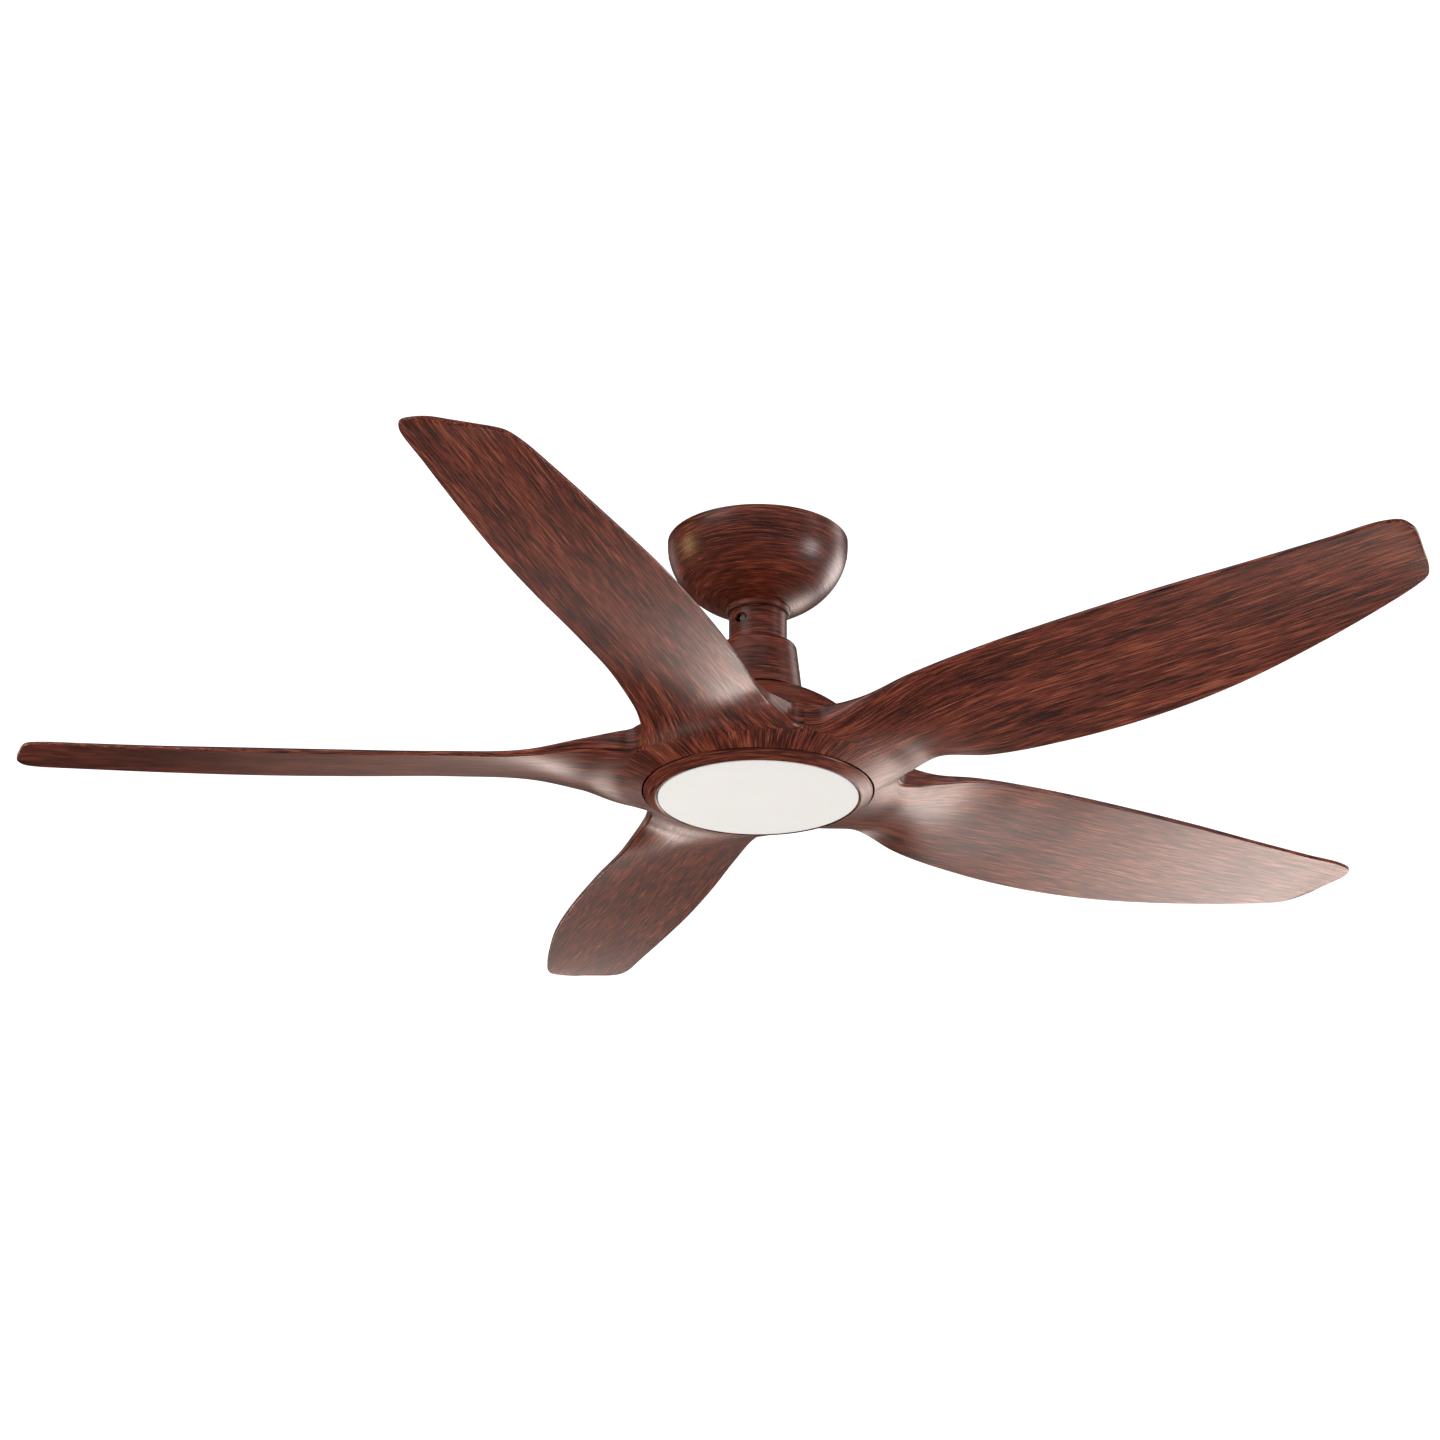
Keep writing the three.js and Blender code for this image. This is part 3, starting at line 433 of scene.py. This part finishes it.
def notch_point(part, trail):
    """Plan point of the fillet between two blades. part is 0 at its bottom and 1 at the blade's edge."""
    if trail:
        turn = lerp(SEAM_DEG + 180, 270, part)
        return polar(NOTCH_CENTRE_R, SEAM_DEG - SEAM_INSET_DEG) + polar(NOTCH_R, turn)
    turn = lerp(LEADING_SEAM_DEG + 180, 90, part)
    return polar(NOTCH_CENTRE_R, LEADING_SEAM_DEG + SEAM_INSET_DEG) + polar(NOTCH_R, turn)


def edge_point(at, trail):
    """Plan point of an edge of the blade, at a station that need not be whole."""
    if at <= LAST_SEAM:
        r = through([Vector((x, 0)) for x in SEAM_RADII], at).x
        return polar(r, SEAM_DEG - SEAM_INSET_DEG if trail else LEADING_SEAM_DEG + SEAM_INSET_DEG)
    if at <= LAST_NOTCH:
        return notch_point((at - LAST_SEAM) / (LAST_NOTCH - LAST_SEAM), trail)
    run = [notch_point(0.6, trail), notch_point(1, trail)]
    run += [Vector(trail_plan if trail else lead_plan) for lead_plan, trail_plan, _ in STATIONS]
    return through(run, at - LAST_NOTCH + 1)


def plan_point(lead, trail, across, arc):
    """Plan point between two edge points, on a mix of the straight line and the arc about the axis."""
    r = lerp(lead.length, trail.length, across)
    a = lerp(math.atan2(lead.y, lead.x), math.atan2(trail.y, trail.x), across)
    return lead.lerp(trail, across).lerp(Vector((r * math.cos(a), r * math.sin(a))), arc)


def arc_part(at):
    return through([Vector((section.arc, i)) for i, section in enumerate(SECTIONS)], at).x


def run_table(point_at):
    """Distance travelled by point_at(station) from the root, at every sixteenth of a station."""
    table = [0.0]
    for i in range(16 * LAST_STATION):
        table.append(table[-1] + (point_at((i + 1) / 16) - point_at(i / 16)).length)
    return table


def travelled(table, at):
    i = min(int(16 * at), len(table) - 2)
    return lerp(table[i], table[i + 1], 16 * at - i)


def smooth_value(knots, values, x):
    """Cubic through the values, with the slope at each knot taken from both of its neighbours."""
    last = len(knots) - 1
    i = max(k for k in range(last) if k == 0 or knots[k] <= x)

    def slope(k):
        if k in (0, last):
            j = max(k, 1)
            return (values[j] - values[j - 1]) / (knots[j] - knots[j - 1])
        before, after = knots[k] - knots[k - 1], knots[k + 1] - knots[k]
        rise, next_rise = (values[k] - values[k - 1]) / before, (values[k + 1] - values[k]) / after
        return (rise * after + next_rise * before) / (before + after)

    h = knots[i + 1] - knots[i]
    t = (x - knots[i]) / h
    return (
        values[i] * (1 + 2 * t) * (1 - t) ** 2 + values[i + 1] * t * t * (3 - 2 * t)
        + h * t * (1 - t) * (slope(i) * (1 - t) - slope(i + 1) * t)
    )


LEAD_RUN = run_table(lambda at: edge_point(at, False))
TRAIL_RUN = run_table(lambda at: edge_point(at, True))
MIDDLE_RUN = run_table(lambda at: plan_point(edge_point(at, False), edge_point(at, True), 0.5, arc_part(at)))


def height_at(table, values, at):
    knots = [travelled(table, i) for i in range(LAST_STATION + 1)]
    return smooth_value(knots, values, travelled(table, at))


def corner_rounding(at):
    """Rounding of the blade's long edges: crisp at the seams, soft in the notch, small on the thin blade."""
    crisp, soft, small = 0.12, 2.6, 0.9
    if at <= LAST_SEAM:
        return crisp
    if at <= LAST_NOTCH:
        return lerp(crisp, soft, (at - LAST_SEAM) / (LAST_NOTCH - LAST_SEAM))
    return max(small, lerp(soft, small, (at - LAST_NOTCH) / 2))


def root_low(plan):
    """Underside of the root. It is alike on both sides of a seam, so that the blades run into each other."""
    r = max(ROOT_RADII[0], min(ROOT_RADII[-1], plan.length))
    across = 0.5 + math.degrees(math.atan2(plan.y, plan.x)) / BLADE_STEP_DEG - ROOT_TURN
    belly = smooth_value(ROOT_RADII, ROOT_BELLY, r)
    return smooth_value(ROOT_RADII, ROOT_EDGE, r) - belly * 4 * across * (1 - across)


def smoothstep(start, stop, x):
    t = max(0, min(1, (x - start) / (stop - start)))
    return t * t * (3 - 2 * t)


def notch_roll(plan):
    """How far the underside rolls up towards the notch on either side of the blade."""
    side_rounding, side_deg = 2, 60  # the rounding falls to this where the notch has turned by so much
    roll = 0
    for seam in (LEADING_SEAM_DEG, SEAM_DEG):
        centre = polar(NOTCH_CENTRE_R, seam)
        away = plan - centre
        turn = abs(math.degrees(away.angle(-centre))) if away.length else 0
        rounding = max(0, lerp(NOTCH_ROLL, side_rounding, turn / side_deg))
        gap = max(0, away.length - NOTCH_R)
        if gap < rounding:
            roll = max(roll, rounding - math.sqrt(rounding**2 - (rounding - gap) ** 2))
    return roll


def blade_loop(at, closing=0, bottom_cut=None, top_cut=None):
    """One closed section of the blade as (point, place in the grain) pairs, in mm. closing runs from 0 to 1
    where the tip's edge rounds off. The cuts give a level surface instead, as (radius, height)."""
    lead, trail = edge_point(at, False), edge_point(at, True)
    lead_z = height_at(LEAD_RUN, [section.lead_z for section in SECTIONS], at)
    lead_edge = height_at(LEAD_RUN, [section.lead_edge for section in SECTIONS], at)
    trail_z = height_at(TRAIL_RUN, [section.trail_z for section in SECTIONS], at)
    trail_edge = height_at(TRAIL_RUN, [section.trail_edge for section in SECTIONS], at)
    middles = [(section.lead_z + section.trail_z) / 2 - section.belly for section in SECTIONS]
    middle_z = height_at(MIDDLE_RUN, middles, at)
    middle_top = height_at(MIDDLE_RUN, [m + section.middle for m, section in zip(middles, SECTIONS)], at)
    belly = (lead_z + trail_z) / 2 - middle_z
    extra = middle_top - middle_z - (lead_edge + trail_edge) / 2
    arc_share = arc_part(at)
    width = (trail - lead).length
    most_of_edge = 0.46 * min(lead_edge, trail_edge)
    rounding = min(corner_rounding(at), most_of_edge) * (1 - closing)

    def point(across, top, setback):
        fullness = 4 * across * (1 - across)
        plan = plan_point(lead, trail, across, arc_share)
        low = lerp(lead_z, trail_z, across) - belly * fullness
        high = low + lerp(lead_edge, trail_edge, across) + extra * fullness**0.8
        low = lerp(root_low(plan), low, smoothstep(*ROOT_GIVES_WAY, plan.length))
        z = high - setback if top else low + max(setback, notch_roll(plan))
        z = lerp(z, (low + high) / 2, 1 - math.sqrt(1 - closing**2))
        level = top_cut if top else bottom_cut
        if level:
            plan = plan.normalized() * level[0]
            z = level[1] + (-setback if top else setback)
        follow = (GRAIN_STRAIGHT_FROM - plan.x) / (GRAIN_STRAIGHT_FROM - GRAIN_FANS_TO)
        grain_y = lerp(plan.y, (across - 0.5) * GRAIN_WIDTH, max(0, min(1, follow)))
        grain = (plan.x, grain_y, z - GRAIN_FOLLOWS_LOW * low)
        return (plan.x, plan.y, z), grain

    corner = [(1 - math.sin(a), 1 - math.cos(a)) for a in [math.pi / 2 * k / 4 for k in range(5)]]
    near_lead = [(rounding * d / width, rounding * s) for d, s in reversed(corner)]
    near_trail = [(1 - rounding * d / width, rounding * s) for d, s in corner]
    inner = 36
    start, stop = near_lead[-1][0], near_trail[0][0]
    middle_run = [(lerp(start, stop, (1 - math.cos(math.pi * i / inner)) / 2), 0) for i in range(1, inner)]
    run = [*near_lead, *middle_run, *near_trail]
    return [point(t, False, s) for t, s in run] + [point(t, True, s) for t, s in reversed(run)]


def blade_loops():
    """Sections from the tongue under the motor's flange to the rounded tip."""
    light_level = -2.5  # underside of the tongue above the light
    flange_level = 3.7  # top of the tongue below the flange
    tongue_r, recess_r, flange_r, lip = 86, 101.5, 108, 0.4
    yield blade_loop(0, 0, (tongue_r, light_level), (tongue_r, flange_level))
    yield blade_loop(0, 0, (recess_r, light_level), (flange_r - 8, flange_level))
    yield blade_loop(0, 0, None, (flange_r - 4, flange_level))
    yield blade_loop(0.3, 0, None, (flange_r, flange_level))
    yield blade_loop(0.5, 0, None, (flange_r, ROOT_TOP - lip))
    yield blade_loop(0.55, 0, None, (flange_r + lip, ROOT_TOP))
    at, root_step, blade_step = 0.7, 0.1, 0.125
    while at < LAST_STATION - 1e-6:
        yield blade_loop(at)
        at += root_step if at < LAST_SEAM + 1 else blade_step
    tip = 0.27  # part of the last station's run that the rounding of the end takes
    nearly_shut = 0.985  # the end keeps a thin strip of faces
    for k in range(1, 8):
        a = math.pi / 2 * k / 7
        yield blade_loop(LAST_STATION - tip * (1 - math.sin(a)), nearly_shut * (1 - math.cos(a)))


def blade(number):
    loops = list(blade_loops())
    size = len(loops[0])
    local = [Vector(p) * MM for loop in loops for p, _ in loop]
    grain = [Vector(g) * MM + Vector((number * 1.7, number * 0.9, 0)) for loop in loops for _, g in loop]
    turn = math.radians(FIRST_BLADE_DEG + BLADE_STEP_DEG * (number - 1))
    place = Matrix.Translation((0, 0, ROTOR_Z)) @ Matrix.Rotation(turn, 4, "Z")
    points = [place @ p for p in local]
    faces = []
    for i in range(len(loops) - 1):
        a, b = i * size, (i + 1) * size
        faces += [(a + j, a + (j + 1) % size, b + (j + 1) % size, b + j) for j in range(size)]
    last = (len(loops) - 1) * size
    for j in range(size // 2 - 1):
        faces.append((j, size - 1 - j, size - 2 - j, j + 1))
        faces.append((last + j, last + j + 1, last + size - 2 - j, last + size - 1 - j))
    return finish_mesh(f"walnut_blade_{number}", points, faces, grain)


# ---------------------------------------------------------------- materials


class Nodes:
    """A material's node tree with short calls for the nodes used here."""

    def __init__(self, name):
        self.material = bpy.data.materials.new(name)
        self.material.use_nodes = True
        self.tree = self.material.node_tree
        self.shader = self.tree.nodes["Principled BSDF"]

    def add(self, kind, **values):
        node = self.tree.nodes.new(kind)
        for key, value in values.items():
            setattr(node, key, value)
        return node

    def link(self, output, socket):
        self.tree.links.new(output, socket)

    def set(self, **values):
        """Constants on the shader's own sockets, with _ for a blank in a socket's name."""
        for key, value in values.items():
            self.shader.inputs[key.replace("_", " ")].default_value = value

    def object_place(self):
        return self.add("ShaderNodeTexCoord").outputs["Object"]

    def grain_place(self):
        return self.add("ShaderNodeAttribute", attribute_name="grain").outputs["Vector"]

    def scaled(self, vector, factors):
        node = self.add("ShaderNodeVectorMath", operation="MULTIPLY")
        self.link(vector, node.inputs[0])
        node.inputs[1].default_value = factors
        return node.outputs["Vector"]

    def noise(self, vector, factors, detail=3, roughness=0.55, distortion=0):
        node = self.add("ShaderNodeTexNoise")
        self.link(self.scaled(vector, factors), node.inputs["Vector"])
        node.inputs["Scale"].default_value = 1
        node.inputs["Detail"].default_value = detail
        node.inputs["Roughness"].default_value = roughness
        node.inputs["Distortion"].default_value = distortion
        return node.outputs["Fac"]

    def ramp(self, factor, stops):
        """Colour ramp from (position, colour or grey level) stops."""
        node = self.add("ShaderNodeValToRGB")
        self.link(factor, node.inputs["Fac"])
        elements = node.color_ramp.elements
        while len(elements) < len(stops):
            elements.new(0.5)
        for element, (position, value) in zip(elements, stops):
            element.position = position
            rgb = value if isinstance(value, tuple) else (value, value, value)
            element.color = (*rgb, 1)
        return node.outputs["Color"]

    def math(self, operation, a, b):
        node = self.add("ShaderNodeMath", operation=operation)
        for socket, value in zip(node.inputs, (a, b)):
            if isinstance(value, (int, float)):
                socket.default_value = value
            else:
                self.link(value, socket)
        return node.outputs["Value"]

    def mix(self, factor, a, b):
        """Blend of two colours. The mix node keeps a set of sockets for each type of data, and these are the
        ones for a colour."""
        node = self.add("ShaderNodeMix", data_type="RGBA")
        for index, value in ((0, factor), (6, a), (7, b)):
            socket = node.inputs[index]
            if isinstance(value, tuple):
                socket.default_value = (*value, 1)
            elif isinstance(value, (int, float)):
                socket.default_value = value
            else:
                self.link(value, socket)
        return node.outputs[2]

    def colour(self, output):
        self.link(output, self.shader.inputs["Base Color"])

    def rough(self, output):
        self.link(output, self.shader.inputs["Roughness"])

    def bump(self, level, depth, strength=1.0):
        node = self.add("ShaderNodeBump")
        node.inputs["Strength"].default_value = strength
        node.inputs["Distance"].default_value = depth
        self.link(level, node.inputs["Height"])
        self.link(node.outputs["Normal"], self.shader.inputs["Normal"])


def walnut(name, stretch, fineness):
    """Printed walnut: fine dark and reddish streaks over broad tones. stretch says how many times longer than
    wide the streaks are, axis by axis."""
    m = Nodes(name)
    place = m.grain_place()

    def streaks(per_metre, longer=1.0, **more):
        factors = [fineness * per_metre / (s * longer if s > 1 else 1) for s in stretch]
        return m.noise(place, factors, **more)

    broad = streaks(26, 0.25, detail=2)
    bands = streaks(300, 0.6, detail=3, roughness=0.6, distortion=0.1)
    fine = streaks(640, 1.2, detail=3, roughness=0.65)
    hair = streaks(1100, 1.4, detail=2, roughness=0.6)
    tone = m.math("MULTIPLY", broad, 0.3)
    tone = m.math("ADD", tone, m.math("MULTIPLY", bands, 0.5))
    tone = m.math("ADD", tone, m.math("MULTIPLY", fine, 0.95))
    tone = m.math("ADD", tone, m.math("MULTIPLY", hair, 0.55))
    tone = m.math("SUBTRACT", tone, 0.65)
    wood = m.ramp(tone, [
        (0.30, (0.020, 0.0052, 0.0030)),
        (0.41, (0.056, 0.0100, 0.0047)),
        (0.5, (0.110, 0.0165, 0.0068)),
        (0.58, (0.180, 0.0300, 0.0118)),
        (0.72, (0.30, 0.080, 0.036)),
    ])
    red = m.ramp(streaks(420, 1.6, detail=2), [(0.56, 0.0), (0.7, 1.0)])
    wood = m.mix(m.math("MULTIPLY", red, 0.4), wood, (0.26, 0.040, 0.017))
    blots = m.ramp(streaks(150, 0.5, detail=4, roughness=0.65), [(0.56, 0.0), (0.72, 1.0)])
    wood = m.mix(m.math("MULTIPLY", blots, 0.25), wood, (0.024, 0.0085, 0.0058))
    pores = m.ramp(streaks(720, 1.4, detail=2), [(0.55, 0.0), (0.66, 1.0)])
    wood = m.mix(m.math("MULTIPLY", pores, 0.5), wood, (0.020, 0.0065, 0.0045))
    m.colour(wood)
    m.rough(m.ramp(fine, [(0.3, 0.38), (0.7, 0.3)]))
    m.set(Specular_IOR_Level=0.5, IOR=1.5, Coat_Weight=0.0)
    m.bump(m.math("SUBTRACT", fine, m.math("MULTIPLY", pores, 0.8)), 0.00003, 0.6)
    return m.material


def metal(name, colour, roughness, mottle=180, depth=0.00002):
    """Bare or plated metal, mottled and finely marked. A dull film on it scatters part of the light."""
    m = Nodes(name)
    place = m.object_place()
    cloud = m.noise(place, (mottle, mottle, mottle), detail=4)
    marks = m.noise(place, (900, 900, 900), detail=3)
    dark = tuple(0.72 * c for c in colour)
    m.colour(m.mix(m.ramp(cloud, [(0.3, 0.0), (0.7, 1.0)]), dark, colour))
    m.rough(m.ramp(marks, [(0.25, roughness - 0.08), (0.75, roughness + 0.12)]))
    m.set(Metallic=0.6)
    m.bump(marks, depth, 0.5)
    return m.material


def moulded(name, colour, roughness, texture=1400, depth=0.00004):
    """Moulded or enamelled surface with a fine spark-eroded texture."""
    m = Nodes(name)
    place = m.object_place()
    texture_level = m.noise(place, (texture, texture, texture), detail=2)
    cloud = m.noise(place, (45, 45, 45), detail=3)
    dark = tuple(0.84 * c for c in colour)
    m.colour(m.mix(cloud, dark, colour))
    m.rough(m.ramp(texture_level, [(0.3, roughness - 0.06), (0.7, roughness + 0.08)]))
    m.bump(texture_level, depth, 0.5)
    return m.material


def laminations():
    """Stack of thin steel sheets."""
    m = Nodes("lamination_steel")
    place = m.object_place()
    sheets = m.noise(place, (25, 25, 2600), detail=1)
    m.colour(m.mix(sheets, (0.1, 0.1, 0.11), (0.34, 0.34, 0.35)))
    m.rough(m.ramp(sheets, [(0.3, 0.62), (0.7, 0.4)]))
    m.set(Metallic=0.6)
    m.bump(sheets, 0.0001, 0.8)
    return m.material


def copper_wire():
    """Enamelled turns of wire, wound round the core."""
    m = Nodes("copper_wire")
    place = m.object_place()
    turns = m.add("ShaderNodeTexWave", wave_type="RINGS", rings_direction="Z")
    m.link(m.scaled(place, (1300, 1300, 1300)), turns.inputs["Vector"])
    turns.inputs["Scale"].default_value = 0.3
    turns.inputs["Distortion"].default_value = 1.5
    m.colour(m.mix(turns.outputs["Fac"], (0.2, 0.05, 0.02), (0.62, 0.25, 0.11)))
    m.rough(m.ramp(turns.outputs["Fac"], [(0.0, 0.5), (1.0, 0.28)]))
    m.set(Metallic=0.9)
    m.bump(turns.outputs["Fac"], 0.0002, 0.7)
    return m.material


def opal():
    """Frosted acrylic with a faint unevenness. A little light scatters under its surface."""
    m = Nodes("opal_acrylic")
    place = m.object_place()
    cloud = m.noise(place, (22, 22, 22), detail=2)
    frost = m.noise(place, (1800, 1800, 1800), detail=2)
    m.colour(m.mix(cloud, (0.75, 0.715, 0.68), (0.785, 0.755, 0.72)))
    m.rough(m.ramp(frost, [(0.3, 0.5), (0.7, 0.6)]))
    m.set(Subsurface_Weight=0.25, Subsurface_Scale=0.004, Specular_IOR_Level=0.2)
    m.bump(frost, 0.00002, 0.4)
    return m.material


# ---------------------------------------------------------------- assembly

BLADE_WOOD = walnut("walnut_blade", (22, 1, 1), 1.15)
TURNED_WOOD = walnut("walnut_metal", (22, 22, 1), 1.8)

stand_in(canopy(), "canopy", TURNED_WOOD, "mount")
stand_in(canopy_collar(), "canopy_trim_ring", TURNED_WOOD, "mount")
stand_in(neck(), "neck_sleeve", TURNED_WOOD, "mount")
stand_in(coupling(), "coupling_cover", TURNED_WOOD, "mount")
stand_in(light_ring(), "light_housing", TURNED_WOOD, "mount")
stand_in(dome(), "motor_top_cover", TURNED_WOOD, "rotor")
stand_in(lens(), "light_diffuser", opal(), "diffuser")
for number in range(1, BLADE_COUNT + 1):
    stand_in(blade(number), f"blade_{number}", BLADE_WOOD, "rotor")

SLOT_FINISHES = {
    "zinc_steel": metal("zinc_steel", (0.62, 0.63, 0.64), 0.34),
    "dark_steel": metal("dark_steel", (0.16, 0.15, 0.15), 0.42, 300),
    "lamination_steel": laminations(),
    "cast_aluminium": metal("cast_aluminium", (0.66, 0.67, 0.68), 0.48, 90, 0.00008),
    "copper_wire": copper_wire(),
    "ferrite": moulded("ferrite", (0.035, 0.035, 0.04), 0.7, 700, 0.0001),
    "black_plastic": moulded("black_plastic", (0.02, 0.02, 0.022), 0.5),
    "white_insulation": moulded("white_insulation", (0.78, 0.76, 0.72), 0.5),
    "led_board": moulded("led_board", (0.8, 0.8, 0.78), 0.42, 500),
}
for part in frame["record"]["subparts"]:
    cad = frame["nodes"][part["node"]]
    finish = SLOT_FINISHES.get(part["material_slot"])
    if finish and not cad.hide_render:
        cad.data.materials.clear()
        cad.data.materials.append(finish)


# ---------------------------------------------------------------- room, light and camera

LAMP_DISTANCE = 2.6


def floor():
    """Pale floor, far enough below for a camera under the fan."""
    level, half = -8, 30
    corners = [(x * half, y * half, level) for x, y in ((-1, -1), (1, -1), (1, 1), (-1, 1))]
    mesh = bpy.data.meshes.new("floor")
    mesh.from_pydata(corners, [], [(0, 1, 2, 3)])
    piece = bpy.data.objects.new("floor", mesh)
    bpy.context.scene.collection.objects.link(piece)
    m = Nodes("floor")
    m.colour(m.mix(m.noise(m.object_place(), (2, 2, 2)), (0.86, 0.86, 0.86), (0.9, 0.9, 0.9)))
    m.set(Roughness=0.9)
    mesh.materials.append(m.material)
    piece.visible_glossy = False


def softbox(name, azimuth, elevation, width, height, radiance, colour=(1, 1, 1), distance=LAMP_DISTANCE):
    """Area light for the gloss. From the middle of the fan it stands azimuth degrees right of straight ahead
    and elevation degrees up. It faces the fan and isn't itself in the picture."""
    light = bpy.data.lights.new(name, "AREA")
    light.shape = "RECTANGLE"
    light.size, light.size_y = width, height
    light.energy = radiance * math.pi * width * height
    light.color = colour
    lamp = bpy.data.objects.new(name, light)
    bpy.context.scene.collection.objects.link(lamp)
    a, e = math.radians(azimuth), math.radians(elevation)
    away = Vector((math.sin(a) * math.cos(e), math.cos(a) * math.cos(e), math.sin(e)))
    lamp.location = (CAD_LO + CAD_HI) / 2 + away * distance
    lamp.rotation_mode = "QUATERNION"
    lamp.rotation_quaternion = away.to_track_quat("Z", "Y")
    lamp.visible_camera = False
    lamp.visible_diffuse = False


def surroundings():
    """White room, bright to the eye and on matt surfaces. It is dim in the gloss, so that wood stays deep."""
    bright, in_gloss = 1.28, 0.01
    world = bpy.data.worlds.new("studio")
    world.use_nodes = True
    tree = world.node_tree
    background = tree.nodes["Background"]
    background.inputs["Color"].default_value = (1, 1, 1, 1)
    path = tree.nodes.new("ShaderNodeLightPath")
    strength = tree.nodes.new("ShaderNodeMapRange")
    strength.inputs["To Min"].default_value = bright
    strength.inputs["To Max"].default_value = in_gloss
    tree.links.new(path.outputs["Is Glossy Ray"], strength.inputs["Value"])
    tree.links.new(strength.outputs["Result"], background.inputs["Strength"])
    bpy.context.scene.world = world
    bpy.context.scene.view_settings.view_transform = "Standard"


def camera():
    """The viewer stands below and in front of the fan and looks up at it."""
    view = bpy.data.cameras.new("camera")
    view.sensor_width = 36
    view.lens = 93.66
    viewer = bpy.data.objects.new("camera", view)
    bpy.context.scene.collection.objects.link(viewer)
    heading, pitch, roll = (math.radians(a) for a in (0.63, 22.65, 0.184))
    turn = Matrix.Rotation(heading, 4, "Z") @ Matrix.Rotation(math.pi / 2 + pitch, 4, "X")
    viewer.matrix_world = Matrix.Translation((0, -3.0315, -1.4366)) @ turn @ Matrix.Rotation(roll, 4, "Z")
    bpy.context.scene.camera = viewer


surroundings()
floor()
softbox("key", 25, -23, 0.8, 0.85, 6.9, (1, 0.86, 0.78))
softbox("side", 46, 0, 1.3, 1.1, 6.5, (1, 0.9, 0.86))
softbox("low_front", -6, -19, 0.4, 0.34, 13.5, (1, 0.86, 0.78))
softbox("horizon", -6, 0, 1.1, 0.6, 0.24, (1, 0.55, 0.42))
softbox("left", -38, 14, 1.0, 0.9, 0.8, (1, 0.82, 0.74))
softbox("rim", 60, 24, 0.9, 1.1, 2.4, (1, 0.93, 0.9))
softbox("overhead", 180, 65, 2.0, 2.0, 1.2)
softbox("back_left", -130, 26, 1.6, 0.9, 1.6)
softbox("back_right", 108, 22, 0.7, 0.9, 1.2)
softbox("lamp_right", 104, -15, 0.26, 0.26, 26, distance=1.5)
softbox("lamp_left", -83, 2, 0.4, 0.4, 9, (1, 0.6, 0.28), distance=1.5)
camera()
